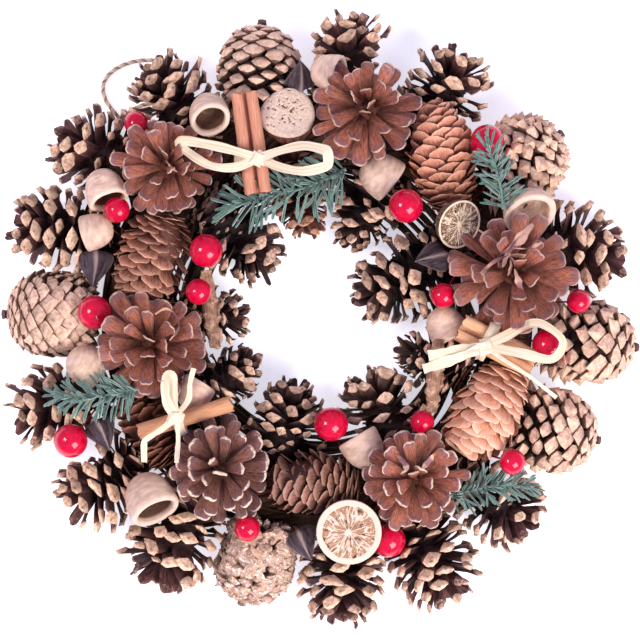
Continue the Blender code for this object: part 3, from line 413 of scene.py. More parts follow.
# Rows from the stalk to the tip: height on the axis as a share of the length, then the core's radius, the
# scales' lean from the axis and their reach as shares of the width
coneKinds = {
    "open": {
        "rows": [
            (0.0, 0.11, 154, 0.36), (0.11, 0.15, 126, 0.38), (0.26, 0.17, 104, 0.37), (0.45, 0.18, 78, 0.36),
            (0.64, 0.15, 52, 0.35), (0.79, 0.05, 28, 0.30),
        ],
        "count": 80, "wide": 0.98, "thick": 0.56, "shape": "paddle", "bend": -0.05, "vary": 2.0,
        "skirt": 0.25, "claws": 0.16, "spread": 0.06,
    },
    "small": {
        "rows": [
            (0.0, 0.13, 150, 0.56), (0.10, 0.17, 122, 0.54), (0.28, 0.18, 104, 0.42), (0.52, 0.18, 80, 0.35),
            (0.74, 0.15, 48, 0.31), (0.92, 0.06, 20, 0.24),
        ],
        "count": 100, "wide": 1.0, "thick": 0.6, "shape": "paddle", "bend": -0.04, "vary": 2.1, "skirt": 0.45,
        "claws": 0.08, "spread": 0.40,
    },
    "domed": {
        "rows": [
            (0.0, 0.03, 178, 0.05), (0.08, 0.17, 166, 0.08), (0.18, 0.266, 150, 0.10),
            (0.38, 0.361, 112, 0.10), (0.58, 0.333, 88, 0.13), (0.78, 0.219, 58, 0.26),
            (0.92, 0.09, 28, 0.22),
        ],
        "count": 160, "wide": 1.46, "thick": 1.28, "shape": "shield", "bend": 0.0, "vary": 0.6,
    },
    "rosette": {
        "rows": [
            (0.24, 0.09, 101, 0.35), (0.378, 0.125, 90, 0.39), (0.532, 0.14, 76, 0.41),
            (0.688, 0.125, 60, 0.40), (0.842, 0.075, 38, 0.37), (0.93, 0.04, 20, 0.29),
            (1.0, 0.02, 8, 0.12),
        ],
        "count": 50, "shape": "petal", "bend": 0.03, "vary": 1.6,
    },
    "spruce": {
        "rows": [
            (0.02, 0.13, 82, 0.14), (0.144, 0.30, 60, 0.22), (0.312, 0.38, 42, 0.29), (0.48, 0.395, 34, 0.31),
            (0.648, 0.366, 28, 0.30), (0.816, 0.276, 22, 0.26), (0.95, 0.10, 10, 0.18),
        ],
        "count": 124, "wide": 2.1, "shape": "leaf", "bend": 0.10, "vary": 1.0,
    },
}

# One scale of each shape, along +Z in shares of its own length, half width and half thickness. Stations give
# the place along it, the width, and the upper and lower thickness. The section runs counter-clockwise. The
# tilt sets the end face askew, by how much further out its upper edge reaches. The pyramid begins at the peak
scaleShapes = {
    "paddle": {
        "stations": [
            (0.0, 0.86, 0.36, 0.40), (0.30, 1.0, 0.26, 0.34), (0.55, 1.06, 0.22, 0.34),
            (0.76, 1.05, 0.30, 0.50), (0.87, 1.0, 0.66, 0.94), (0.90, 0.96, 0.90, 1.0),
            (0.985, 0.36, 0.28, 0.32), (1.0, 0.18, 0.13, 0.15), (1.02, 0.08, 0.06, 0.06),
        ],
        "section": [
            (1, 0), (0.60, 0.60), (0, 1), (-0.60, 0.60), (-1, 0), (-0.60, -0.54), (0, -1), (0.60, -0.54),
        ],
        "tilt": 0.12, "peak": 0.90,
    },
    "shield": {
        "stations": [
            (0.0, 0.55, 0.6, 0.6), (0.40, 0.80, 0.86, 0.86), (0.66, 0.98, 1.0, 1.0), (0.78, 1.0, 1.0, 1.0),
            (0.92, 0.30, 0.26, 0.26), (0.94, 0.18, 0.15, 0.15), (0.965, 0.08, 0.07, 0.07),
        ],
        "section": [
            (1, 0), (0.60, 0.58), (0, 1), (-0.60, 0.58), (-1, 0), (-0.60, -0.58), (0, -1), (0.60, -0.58),
        ],
        "tilt": 0.16, "peak": 0.78,
    },
    "petal": {
        "stations": [
            (0.0, 0.46, 0.8, 0.8), (0.22, 0.56, 0.7, 0.8), (0.45, 0.74, 0.7, 0.9), (0.65, 0.90, 0.8, 1.0),
            (0.78, 1.0, 0.9, 1.1), (0.87, 0.98, 1.0, 1.2), (0.93, 0.87, 1.0, 1.2), (0.97, 0.69, 0.95, 1.15),
            (0.995, 0.46, 0.85, 1.0), (1.005, 0.22, 0.6, 0.7),
        ],
        "section": [
            (1, -0.5), (1, 0.5), (0.9, 0.95), (0.7, 1), (0.4, 1), (0, 1.12), (-0.4, 1), (-0.7, 1),
            (-0.9, 0.95), (-1, 0.5), (-1, -0.5), (-0.7, -1), (0, -1.1), (0.7, -1),
        ],
        "tilt": -0.01, "peak": 2.0,
    },
    "leaf": {
        "stations": [
            (0.0, 0.42, 1, 1), (0.35, 0.72, 1, 1), (0.62, 0.98, 1, 1), (0.80, 0.97, 0.9, 0.9),
            (0.91, 0.78, 0.8, 0.8), (0.975, 0.48, 0.6, 0.6), (1.0, 0.16, 0.4, 0.4),
        ],
        "section": [
            (1, 0), (0.84, 0.8), (0.45, 1), (0, 1), (-0.45, 1), (-0.84, 0.8), (-1, 0), (-0.62, -0.9), (0, -1),
            (0.62, -0.9),
        ],
        "tilt": 0.0, "peak": 2.0,
    },
}

scaleShapes["tongue"] = {
    **scaleShapes["leaf"],
    "stations": [
        (0.0, 0.42, 1, 1), (0.35, 0.76, 1, 1), (0.60, 1.0, 1, 1), (0.76, 0.92, 0.9, 0.9),
        (0.88, 0.62, 0.8, 0.8), (0.96, 0.30, 0.6, 0.6), (1.0, 0.10, 0.4, 0.4),
    ],
}


def scaleTemplate(shape, peak):
    plan = scaleShapes[shape]
    section = np.array(plan["section"])
    rings, where = [], []
    for along, wide, top, bottom in plan["stations"]:
        y = section[:, 1] * np.where(section[:, 1] > 0, top, bottom)
        askew = plan["tilt"] * y * min(1, max(0, (along - 0.35) / 0.4))
        z = along + max(0, along - plan["peak"]) * (peak - 1) + askew
        rings.append(np.stack([section[:, 0] * wide, y, z], 1))
        where.append(np.stack([section[:, 0], section[:, 1], np.full(len(section), along)], 1))
    rings, where = np.array(rings), np.array(where)
    points = np.vstack([rings[0].mean(0), rings.reshape(-1, 3), rings[-1].mean(0) + (0, 0, 0.008)])
    where = np.vstack([where[0].mean(0), where.reshape(-1, 3), where[-1].mean(0)])
    x, y, along = where.T
    beside, below = np.abs(x), np.clip(-y, 0, 1)

    def rising(value, start, over):
        return np.clip((value - start) / over, 0, 1)

    # end is the pale end face, edge the paler rim, and shade is painted shade: it darkens the scale towards
    # its root, deep in the cone, and on a paddle's or shield's lower facets; their darker tip is the umbo
    if shape == "paddle":
        end = rising(along + 0.04 * (y < -0.3), 0.835, 0.06)
        edge = rising(beside, 0.5, 0.4) * rising(along, 0.3, 0.3)
        shade = -1.5 * rising(-along, -0.74, 0.6) - 0.9 * below * (along > 0.8) - 0.6 * (along > 0.99)
    elif shape == "shield":
        end = rising(along, 0.725, 0.08)
        edge = rising(along, 0.3, 0.3)
        shade = -1.9 * rising(-along, -0.74, 0.2) - 0.4 * below - 0.6 * (along > 0.93)
    elif shape == "petal":
        end = np.maximum((np.abs(y) < 0.6) * rising(along, 0.80, 0.1), rising(along, 0.985, 0.015))
        edge = np.maximum(rising(beside, 0.74, 0.3) * rising(along, 0.35, 0.3), rising(along, 0.84, 0.11))
        shade = -1.7 * rising(-along, -0.62, 0.45)
    else:
        end = 0.55 * np.maximum((beside > 0.95) * rising(along, 0.5, 0.2), rising(along, 0.95, 0.04))
        edge = np.maximum(rising(beside, 0.5, 0.45), rising(along, 0.72, 0.2))
        shade = -1.3 * rising(-along, -0.70, 0.4)
    return points, loftFaces(len(plan["stations"]), len(section)), end, edge, shade


# What a cone's kind or the cone itself doesn't say: how wide and thick its scales are for their share of it,
# how far they stand open in degrees, how high their pyramids are and where their points begin, the least
# share of a scale that is kept, a petal's half thickness and the crust's roughness in mm
coneDefaults = {
    "wide": 1.0, "thick": 0.3, "opened": 0.0, "peak": 1.0, "point": 0.93, "least": 0.12, "petalThick": 0.45,
    "crust": 0.0,
}
# How far scales stray from their rule, as standard deviations: angles in radians, the rest as shares
stray = {"turn": 0.05, "lean": 0.06, "reach": 0.05, "wide": 0.07, "roll": 0.10, "bend": 0.03, "skew": 0.22}
# A spruce cone and a small one give way to their neighbours, by this much
pressDepth = {"spruce": 6.0, "small": 3.0}


def coneChunks(name, kind, stalk, way, length, width, seed, **own):
    plan = {**coneDefaults, **coneKinds[kind], **own}
    vary, shape = plan["vary"], plan["shape"]
    rng = np.random.default_rng(seed)
    h, core, lean, reach = np.array(plan["rows"]).T
    fine = np.linspace(h[0], h[-1], 200)
    leanAt = np.radians(np.interp(fine, h, lean) + (plan["opened"] if kind == "spruce" else 0))
    reachAt = np.interp(fine, h, reach) * width
    coreAt = np.interp(fine, h, core) * width
    endOut = coreAt + reachAt * np.sin(leanAt)
    endUp = fine * length + reachAt * np.cos(leanAt)

    # the scales stand on a spiral, at an even distance along the cone's outline
    step = np.hypot(np.diff(endOut), np.diff(endUp)) * (endOut[1:] ** 0.8 if kind == "rosette" else 1)
    run = np.concatenate([[0], np.cumsum(step)])
    n = plan["count"]
    at = np.interp((np.arange(n) + 0.5) / n * run[-1], run, fine)
    turn = np.arange(n) * goldenAngle + rng.normal(0, stray["turn"], n) * vary + seed
    lean = np.interp(at, fine, leanAt) + rng.normal(0, stray["lean"], n) * vary
    reach = np.interp(at, fine, reachAt) * (1 + rng.normal(0, stray["reach"], n) * vary)
    core = np.interp(at, fine, coreAt)

    # each scale is as wide as its share of the outline
    apart = np.hypot(np.diff(endOut), np.diff(endUp)).sum() / n
    size = np.sqrt(math.tau * np.maximum(np.interp(at, fine, endOut), 0.05 * width) * apart)
    wide, thick = plan["wide"] * size / 2, plan["thick"] * size / 2
    wide = wide * (1 + rng.normal(0, stray["wide"], n) * vary)
    if shape == "paddle":  # broad low scales, and towards the tip slimmer and longer ones, as claws
        slim = np.clip((at / h[-1] - 0.6) / 0.4, 0, 1)
        wide = wide * (1 + plan["skirt"] * np.clip((0.3 - at) / 0.2, 0, 1)) * (1 - 0.20 * slim)
        thick = thick * (1 - 0.34 * slim)
        spread = plan["spread"] * np.cos(turn) ** 2 * np.clip((0.7 - at) / 0.15, 0, 1)
        reach = reach * (1 + plan["claws"] * slim + spread)
    if kind == "domed":  # towards the tip the scales stand open, so they are slimmer and lift off
        lifted = np.clip((at - 0.62 + 0.02 * plan["opened"]) / 0.25, 0, 1)
        wide, thick = wide * (1 - 0.26 * lifted), thick * (1 - 0.42 * lifted)
        lean = lean + 0.22 * lifted * rng.uniform(0.4, 1.6, n)
    if kind == "rosette":
        wide = width * (0.083 - 0.023 * (at - 0.24) / 0.7) * (1 + rng.normal(0, 0.10, n))
        thick = np.full(n, plan["petalThick"])
    if kind == "spruce":
        wide, thick = np.minimum(wide, 0.20 * width), np.full(n, 0.40)

    # each scale's own axes: sideways, up out of its upper face, and ahead
    out = np.stack([np.cos(turn), np.sin(turn), np.zeros(n)], 1)
    side = np.stack([-np.sin(turn), np.cos(turn), np.zeros(n)], 1)
    axis = np.array([0, 0, 1.0])
    ahead = out * np.sin(lean)[:, None] + axis * np.cos(lean)[:, None]
    up = axis * np.sin(lean)[:, None] - out * np.cos(lean)[:, None]
    roll = rng.normal(0, stray["roll"], n)[:, None] * vary
    side, up = side * np.cos(roll) + up * np.sin(roll), up * np.cos(roll) - side * np.sin(roll)
    root = out * (core * 0.8)[:, None] + axis * (at * length)[:, None]

    points, faces, end, edge, shade = scaleTemplate(shape, plan["peak"])
    x, y, z = points.T
    reach = reach + core * 0.2
    hollow = {"petal": -0.16, "leaf": 0.12, "tongue": 0.08}.get(shape, 0.0)
    bend = plan["bend"] + rng.normal(0, stray["bend"], n) * vary
    lift = (bend * reach)[:, None] * (z**2)[None] + hollow * wide[:, None] * (x**2)[None]
    if shape in ("petal", "leaf", "tongue"):
        often, high = (3, 0.012) if kind == "rosette" else (5, 0.022)
        wave = np.sin(often * x * (1 + z) + rng.uniform(0, 6, n)[:, None])
        lift = lift + high * reach[:, None] * wave * z**2
    aside = (rng.normal(0, stray["bend"], n) * vary * reach)[:, None] * (z**2)[None]
    local = (
        root[:, None]
        + side[:, None] * (wide[:, None] * x + aside)[..., None]
        + up[:, None] * (thick[:, None] * y + lift)[..., None]
        + ahead[:, None] * (reach[:, None] * z)[..., None]
    )
    # each pyramid's point is off its middle
    skewSide = (rng.normal(0, stray["skew"], n) * wide)[:, None, None] * side[:, None]
    skewUp = (rng.normal(0, stray["skew"], n) * thick)[:, None, None] * up[:, None]
    if shape in ("paddle", "shield"):
        local = local + (skewSide + skewUp) * (z > plan["point"])[None, :, None]
    local = local + rng.normal(0, 1, local.shape) * plan["crust"]

    world, roots = placedAlong(local, way, stalk), placedAlong(root, way, stalk)
    planes, press = roomOf(name), pressDepth.get(kind, 0.0)
    world, kept = keepInRoom(world, roots, planes, plan["least"], press)
    count, each = world.shape[:2]
    grain = np.stack([wide[kept, None] * x, thick[kept, None] * y, reach[kept, None] * z], -1)
    grain = grain + rng.uniform(-50, 50, (count, 1, 3))
    offsets = (np.arange(count) * each)[:, None, None]
    ends = np.tile(end, (count, 1))
    if shape == "paddle":  # many scales of the tip are dark to their end
        ends = ends * (1 - 0.9 * slim * rng.uniform(0, 1, n))[kept, None]
    scales = {
        "points": world.reshape(-1, 3), "grain": grain.reshape(-1, 3),
        "faces": [(f[None] + offsets).reshape(-1, f.shape[1]) for f in faces],
        "end": ends.ravel(), "edge": np.tile(edge, count),
        # tone is each scale's random tone plus the template's painted shade
        "tone": np.repeat(rng.uniform(0, 1, count), each) + np.tile(shade, count),
    }
    return [scales, coreChunk(plan, kind, stalk, way, length, width, planes, press)], count


def coreChunk(plan, kind, stalk, way, length, width, planes, press):
    # the cone's middle, with the stubs of its scales, drawn in where a neighbour is close, and painted dark by
    # a low
    # tone: painted shade of the cone's depth
    sides = 20
    stout = 1.3 if plan["shape"] == "paddle" else 1.0
    rows = [(r * width * stout, k * length) for k, r, _, _ in plan["rows"]]
    rings = turnedRings(smoothLine([(0.5, -0.01), *rows, (0.3, 0.97 * length)], 2.0), sides)
    i, a = np.arange(len(rings))[:, None], np.arange(sides)[None] * math.tau / sides
    rings[:, :, :2] *= (1 + 0.13 * np.sin(5 * a + 2.1 * i) * (kind != "spruce"))[..., None]
    rings = placedAlong(rings, way, stalk)
    middle = rings.mean(1, keepdims=True)
    for normal, level in planes:
        over = np.maximum(rings @ normal - level + 0.5 * press, 0)
        share = np.clip(1 - over / np.maximum(np.abs((rings - middle) @ normal), 1e-6), 0.1, 1)
        rings = middle + (rings - middle) * share[..., None]
    # the low tone is painted shade, as the middle lies deep in the cone
    return loft(rings, tone=-1.2)


# Pine cone wood: lignified scales, grown and dried. Dead matt, with a pale weathered end and fine streaks
# along each scale. A low tone paints it nearly black in the depth of the cone: painted shade
def coneWood(name, look):
    material, tree, shader = newMaterial(name)
    keys = ("grain", "end", "edge", "tone")
    marks = {key: addNode(tree, "ShaderNodeAttribute", {"attribute_name": key}) for key in keys}
    stretch = {"operation": "MULTIPLY", 1: (1, 1, 0.16)}
    along = addNode(tree, "ShaderNodeVectorMath", stretch, {0: (marks["grain"], "Vector")})
    fine = {"Scale": 1 / look["streakMm"], "Detail": 3.0}
    streak = addNode(tree, "ShaderNodeTexNoise", fine, {"Vector": (along, 0)})
    broad = {"Scale": 1 / look["mottleMm"], "Detail": 4.0, "Roughness": 0.6}
    mottle = addNode(tree, "ShaderNodeTexNoise", broad, {"Vector": (marks["grain"], "Vector")})

    # the scale's own colour in streaks, its end's in blotches, with any crust between the two
    stops = [(0.30, hexColour(look["deep"])), (0.72, hexColour(look["body"]))]
    body = addNode(tree, "ShaderNodeValToRGB", {"stops": stops}, {"Fac": (streak, "Fac")})
    ends = [(0.30, look["endDark"]), (0.66, look["endPale"]), *look["crusts"]]
    stops = sorted((at, hexColour(colour)) for at, colour in ends)
    pale = addNode(tree, "ShaderNodeValToRGB", {"stops": stops}, {"Fac": (mottle, "Fac")})

    # the edge of each mark is uneven, as worn wood's is
    half = {"operation": "MULTIPLY_ADD", 1: 0.5, 2: -0.25}
    wobble = addNode(tree, "ShaderNodeMath", half, {0: (mottle, "Fac")})
    clamped = {"operation": "ADD", "use_clamp": True}
    edged = addNode(tree, "ShaderNodeMath", clamped, {0: (marks["edge"], "Fac"), 1: (wobble, 0)})
    part = {"operation": "MULTIPLY", 1: look["edgeShare"]}
    edgeShare = addNode(tree, "ShaderNodeMath", part, {0: (edged, 0)})
    edgeColour = {"data_type": "RGBA", 7: hexColour(look["edge"])}
    bloom = addNode(tree, "ShaderNodeMix", edgeColour, {0: (edgeShare, 0), 6: (body, "Color")})
    endSum = addNode(tree, "ShaderNodeMath", {"operation": "ADD"}, {0: (marks["end"], "Fac"), 1: (wobble, 0)})
    endRange = {"From Min": look["endFrom"], "From Max": look["endTo"]}
    ended = addNode(tree, "ShaderNodeMapRange", endRange, {"Value": (endSum, 0)})
    sources = {0: (ended, 0), 6: (bloom, 2), 7: (pale, "Color")}
    mixed = addNode(tree, "ShaderNodeMix", {"data_type": "RGBA"}, sources)
    # tone holds each scale's random tone; where it is set low, towards the roots and in a cone's middle, it is
    # painted shade, so the range is not clamped
    toneRange = {"clamp": False, "To Min": look["toneLow"], "To Max": look["toneHigh"]}
    value = addNode(tree, "ShaderNodeMapRange", toneRange, {"Value": (marks["tone"], "Fac")})
    toned = addNode(tree, "ShaderNodeHueSaturation", {}, {"Color": (mixed, 2), "Value": (value, 0)})

    mixing = {"operation": "MULTIPLY_ADD", 1: 0.6}
    height = addNode(tree, "ShaderNodeMath", mixing, {0: (streak, "Fac"), 2: (mottle, "Fac")})
    relief = {"Strength": look["bump"], "Distance": look["bumpMm"] * mm}
    bump = addNode(tree, "ShaderNodeBump", relief, {"Height": (height, 0)})
    roughRange = {"To Min": look["rough"] - 0.1, "To Max": look["rough"] + 0.1}
    rough = addNode(tree, "ShaderNodeMapRange", roughRange, {"Value": (streak, "Fac")})
    surface = {"Base Color": (toned, "Color"), "Roughness": (rough, "Result"), "Normal": (bump, "Normal")}
    addNode(tree, shader, {"Specular IOR Level": look["shine"]}, surface)
    return material


def woodLook(deep, body, edge, endDark, endPale, **more):
    # a scale's colours from its depth to its edge, then those of its end. Mm values are real sizes
    base = {
        "deep": deep, "body": body, "edge": edge, "endDark": endDark, "endPale": endPale, "edgeShare": 0.5,
        "endFrom": 0.35, "endTo": 0.65, "streakMm": 0.9, "mottleMm": 1.8, "toneLow": 0.82, "toneHigh": 1.18,
        "bump": 0.5, "bumpMm": 0.25, "rough": 0.78, "shine": 0.28, "crusts": [],
    }
    return {**base, **more}


woods = {
    "openPineWood": woodLook(
        "#22121a", "#704640", "#8a6258", "#b88a6e", "#fcdab8", edgeShare=0.6, toneLow=0.78, toneHigh=1.2,
    ),
    "tipPineWood": woodLook(
        "#1c0f14", "#5c3c38", "#7c5a52", "#a87e68", "#f4d0b0", edgeShare=0.6, toneLow=0.76, toneHigh=1.2,
    ),
    "tightPineWood": woodLook("#2c1a1a", "#6e4e44", "#967460", "#c49a80", "#fadabc", mottleMm=2.2),
    "lichenPineWood": woodLook(
        "#4a342c", "#8c6c5a", "#b89a86", "#8a7060", "#faf0e6",
        mottleMm=1.7, bumpMm=1.0, bump=1.0, toneLow=0.95, toneHigh=1.2,
        crusts=[(0.40, "#dcaa86"), (0.50, "#b8a894"), (0.56, "#eccab4")],
    ),
    "redPineWood": woodLook("#351a16", "#8c5444", "#9e6c54", "#b27a60", "#d8a886"),
}

# Each domed cone's own build: how many scales, how far they stand open, how high their pyramids are
domedCones = {
    2: {"count": 130, "opened": 14, "peak": 1.5, "wide": 1.38, "thick": 1.16},
    5: {"count": 190, "opened": 8, "peak": 3.0, "wide": 1.34, "thick": 1.2, "vary": 1.4},
    7: {"count": 100, "opened": 10, "peak": 2.6, "wide": 1.28, "thick": 1.22, "vary": 0.9},
    8: {"count": 120, "opened": 12, "peak": 2.2, "wide": 1.34, "thick": 1.24, "vary": 0.9},
    12: {"count": 310, "opened": 0, "peak": 1.8, "wide": 1.75, "thick": 1.6, "vary": 2.0, "crust": 0.36},
    16: {"count": 200, "opened": 2, "peak": 1.0, "wide": 1.52, "thick": 1.34, "vary": 0.5},
}


def buildRingCones():
    # clock angle and distance of the cone's middle, heading off the radius, length, width, kind
    outer = [
        (124, 142, -4, 46, 46, "open"), (104, 138, -18, 46, 50, "domed"), (83, 141, 4, 46, 46, "open"),
        (61, 140.5, -2, 43, 45, "open"), (38, 138, -4, 46, 50, "domed"), (15, 143, -26, 48, 48, "open"),
        (-5, 146, -2, 46, 48, "domed"), (-26, 139, 14, 46, 50, "domed"), (-46, 139, 8, 42, 46, "open"),
        (-65, 144, 2, 46, 46, "open"), (-85, 141, -4, 46, 46, "open"), (-105, 136, -2, 42, 48, "domed"),
        (-123, 145, 6, 48, 48, "open"), (-143, 146, -6, 48, 46, "open"), (-162, 148, 4, 50, 46, "open"),
        (179, 144.3, 2, 46.6, 54, "domed"), (161, 149, 14, 52, 48, "open"), (143, 146, 12, 50, 49, "open"),
    ]
    inner = [
        (136, 64, 6, 42, 42), (180, 65, 0, 40, 38), (213, 66, 4, 40, 36), (252, 64, 0, 42, 42),
        (304, 65, -4, 42, 44), (340, 68, 4, 34, 34), (27, 56, 8, 56, 46), (66, 66, -4, 38, 38),
        (99, 67, 2, 34, 32),
    ]
    outerLevel, innerLevel = 23.5, 22.0
    wood = {name: coneWood(name, woods[name]) for name in woods}
    total = 0
    for k, (angle, radius, turn, length, width, kind) in enumerate(outer, 1):
        way = pointing(angle + turn, 0) * (-1 if kind == "domed" else 1)
        stalk = onClock(angle, radius, outerLevel) - way * (length / 2)
        node = f"outer_cone_{k:02d}"
        chunks, count = coneChunks(node, kind, stalk, way, length, width, k, **domedCones.get(k, {}))
        if kind == "domed":
            stem = smoothLine([stalk + way * 2, stalk - way * 2, stalk - way * 5 + (0, 0, 1.2)], 0.8)
            knobs = 1 + 0.12 * np.sin(np.arange(len(stem)) * 1.9 + k)
            chunks.append(loft(alongLine(stem, circle(9) * 2.5, size=knobs), tone=-0.4, edge=0.6))
        name = "lichenPineWood" if k == 12 else "tightPineWood" if kind == "domed" else "openPineWood"
        makePiece(f"outerCone{k:02d}", chunks, [wood[name]], [node])
        total += count
    for k, (angle, radius, turn, length, width) in enumerate(inner, 1):
        way = pointing(angle + 180 + turn, 0)
        stalk = onClock(angle, radius, innerLevel) - way * (length / 2)
        node = f"inner_cone_{k:02d}"
        chunks, count = coneChunks(node, "small", stalk, way, length, width * 1.1, 40 + k)
        name = {9: "redPineWood", 5: "tightPineWood"}.get(k, "tipPineWood")
        makePiece(f"innerCone{k:02d}", chunks, [wood[name]], [node])
        total += count
    print("ring cones,", total, "scales")


def shredChunk(points, width, seed):
    # a petal's torn skin, dried and curled: thin, narrow at both ends, paler than the petal
    spacing = 0.9
    rng = np.random.default_rng(seed)
    line = smoothLine(points, spacing)
    s = np.linspace(0, 1, len(line))
    section = np.array(
        [(1, 0.1), (0.5, 0.16), (0, 0.05), (-0.5, 0.16), (-1, 0.1), (-0.5, -0.05), (0, -0.12), (0.5, -0.05)]
    )
    ragged = 1 + 0.2 * np.sin(23 * s + rng.uniform(0, 6))
    size = width / 2 * (0.25 + 0.75 * np.sin(math.pi * s**0.8)) * ragged
    rings = alongLine(line, section, spin=1.2 * np.sin(3 * s + rng.uniform(0, 6)), size=size)
    run = (s * len(line) * spacing)[:, None]
    grain = np.stack(np.broadcast_arrays(section[:, 0] * width + 9 * seed, 0.0, run), -1)
    end = np.clip(0.6 + 0.4 * np.sin(9 * s), 0, 1)[:, None]
    return loft(rings, grain=grain, edge=1.0, end=end, tone=1.2)


onRing = 22.8  # the level on which rosettes stand and spruce cones lie


def buildRosettes():
    # x, y, width, height, lean of the tip in x and y, half thickness of a petal's end, colour of its rim
    cones = [
        (-81, 81, 56, 44, -3, 3, 0.42, "#dcbc9e"), (25, 112, 56, 46, 0, 5, 0.42, "#d2aa90"),
        (103, 24, 65, 48, 4, 2, 0.40, "#bc9884"), (50, -86, 54, 46, 2, 0, 0.55, "#e8ccae"),
        (-53, -81, 54, 46, 0, 2, 0.85, "#f6e0c0"), (-90, -14, 60, 44, -2, 0, 0.45, "#d2ac90"),
    ]
    # each torn skin's width and its points
    shreds = {
        3: [
            (6.0, [(113, 50, 72), (107, 43, 75), (100, 36, 75), (93, 31, 73), (86, 25, 70)]),
            (4.5, [(109, 47, 73), (103, 40, 76), (99, 33, 76), (97, 27, 74)]),
            (4.0, [(116, 32, 70), (108, 33, 74), (100, 33, 76), (91, 29, 74), (82, 19, 69)]),
            (3.0, [(84, 47, 68), (91, 42, 72), (97, 37, 75), (103, 30, 75)]),
            (3.5, [(103, 26, 75), (106, 17, 74), (109, 8, 70)]),
            (2.2, [(118, 40, 70), (110, 37, 74), (103, 37, 76)]),
        ],
        4: [
            (3.6, [(39, -72, 64), (43, -75, 69), (46, -80, 70), (43, -83, 69)]),
            (3.2, [(63, -70, 66), (58, -76, 70), (52, -83, 70)]),
        ],
        6: [(2.4, [(-88, 2, 65), (-82, 5, 68), (-77, 2, 69), (-75, -5, 68), (-80, -12, 66)])],
        1: [(1.6, [(-82, 84, 70), (-79, 80, 71), (-75, 77, 69)])],
    }
    petal = {"edgeShare": 0.72, "rough": 0.6, "streakMm": 0.5, "toneLow": 0.85, "toneHigh": 1.27}
    total = 0
    for k, (x, y, width, height, leanX, leanY, thick, rim) in enumerate(cones, 1):
        way = unit([leanX * 1.6, leanY * 1.6, height])
        stalk = np.array([x - leanX, y - leanY, onRing])
        node = f"rosette_cone_{k}"
        chunks, count = coneChunks(node, "rosette", stalk, way, height, width, 80 + k, petalThick=thick)
        body, deep = ("#a4705c", "#58342c") if k == 5 else ("#c67e60", "#6e3c30")
        wood = coneWood(f"petalWood{k}", woodLook(deep, body, "#7a626c", "#a88470", rim, **petal))
        for n, (shredWidth, points) in enumerate(shreds.get(k, [])):
            chunks.append(shredChunk(points, shredWidth, 10 * k + n))
        makePiece(f"rosetteCone{k}", chunks, [wood], [node])
        total += count
    print("rosettes,", total, "petals")


def buildSpruceCones():
    # x, y, heading of the tip, its rise, length, width, how far the scales stand open in degrees, then the
    # scales' colours from their depth to the edge
    cones = [
        (-90, 33, 250, -4, 52, 33, 24, "#4a2a28", "#d08c72", "#e8b08e", "#fad2b0"),
        (66, 86, 101, 11, 60, 34, 4, "#7a4638", "#e09a7a", "#e8ac8c", "#f6ccaa"),
        (91, -50, 240, 8, 56, 38, 0, "#b4704e", "#f8bc98", "#ffceae", "#ffe2c4"),
        (-4, -89, 175, 4, 52, 31, 10, "#40241e", "#a06c58", "#b48a74", "#d8b49c"),
        (-92, -61, 125, 0, 42, 29, 22, "#2a1614", "#7c4a38", "#9e684e", "#cc9674"),
    ]
    papery = {"edgeShare": 0.8, "rough": 0.55, "streakMm": 0.6, "bump": 0.35}
    total = 0
    for k, (x, y, heading, rise, length, width, opened, deep, body, edge, rim) in enumerate(cones, 1):
        way = pointing(heading, rise)
        stalk = np.array([x, y, onRing + width * 0.47]) - way * (length / 2)
        node = f"spruce_cone_{k}"
        shape = "leaf" if k == 3 else "tongue"
        chunks, count = coneChunks(
            node, "spruce", stalk, way, length, width, 120 + k, opened=opened, shape=shape
        )
        wood = coneWood(f"spruceWood{k}", woodLook(deep, body, edge, edge, rim, **papery))
        makePiece(f"spruceCone{k}", chunks, [wood], [node], sharp=70)
        total += count
    print("spruce cones,", total, "scales")


buildRingCones()
buildRosettes()
buildSpruceCones()

# Wires: a stem leaves a wire that lies on the ring, bends at the ring's edge and rises to what it holds
wiring = {
    "berryRing": 98.0, "podRing": 108.0, "level": 21.3, "wire": 0.7, "stem": 0.5, "sides": 8,
    "inwardKnee": (84.5, 26.0), "outwardKnee": (114.0, 30.0),
}


def stemLine(angle, wireRing, end, by=()):
    inward = math.hypot(end[0], end[1]) < wireRing
    knee = onClock(angle, *wiring["inwardKnee" if inward else "outwardKnee"])
    return [onClock(angle, wireRing, wiring["level"]), knee, *by, np.asarray(end, float)]


def wireChunks(angles, radius, material):
    first, last = min(angles) - 3, max(angles) + 3
    steps = max(8, round((last - first) / 3))
    line = [onClock(first + (last - first) * k / steps, radius, wiring["level"]) for k in range(steps + 1)]
    return loft(alongLine(line, circle(wiring["sides"]) * wiring["wire"]), material)


def stemChunk(points, material):
    line = []
    for a, b in zip(points, points[1:]):
        line += [a + (b - a) * t for t in np.linspace(0, 1, 6)[:-1]]
    line = np.array([*line, points[-1]])
    line[1:-1] = (line[:-2] + 2 * line[1:-1] + line[2:]) / 4  # the knee is bent by hand, not folded
    slanting = (0.31, 0.17, 0.93)  # no stem runs this way, so it can tell the section how to lie
    return loft(alongLine(line, circle(wiring["sides"]) * wiring["stem"], up=slanting), material)


# Paint or tape over a smooth core: an even colour with soft clouds in it
def paintMaterial(name, look, settings):
    material, tree, shader = newMaterial(name)
    grain = addNode(tree, "ShaderNodeAttribute", {"attribute_name": "grain"})
    clouds = {"Scale": 1 / look["cloudMm"], "Detail": 2.0}
    cloud = addNode(tree, "ShaderNodeTexNoise", clouds, {"Vector": (grain, "Vector")})
    stops = [(0.3, hexColour(look["deep"])), (0.7, hexColour(look["bright"]))]
    colour = addNode(tree, "ShaderNodeValToRGB", {"stops": stops}, {"Fac": (cloud, "Fac")})
    addNode(tree, shader, settings, {"Base Color": (colour, "Color")})
    if look["bump"]:
        relief = {"Strength": look["bump"], "Distance": look["bumpMm"] * mm}
        bump = addNode(tree, "ShaderNodeBump", relief, {"Height": (cloud, "Fac")})
        addNode(tree, shader, {}, {"Normal": (bump, "Normal")})
    return material


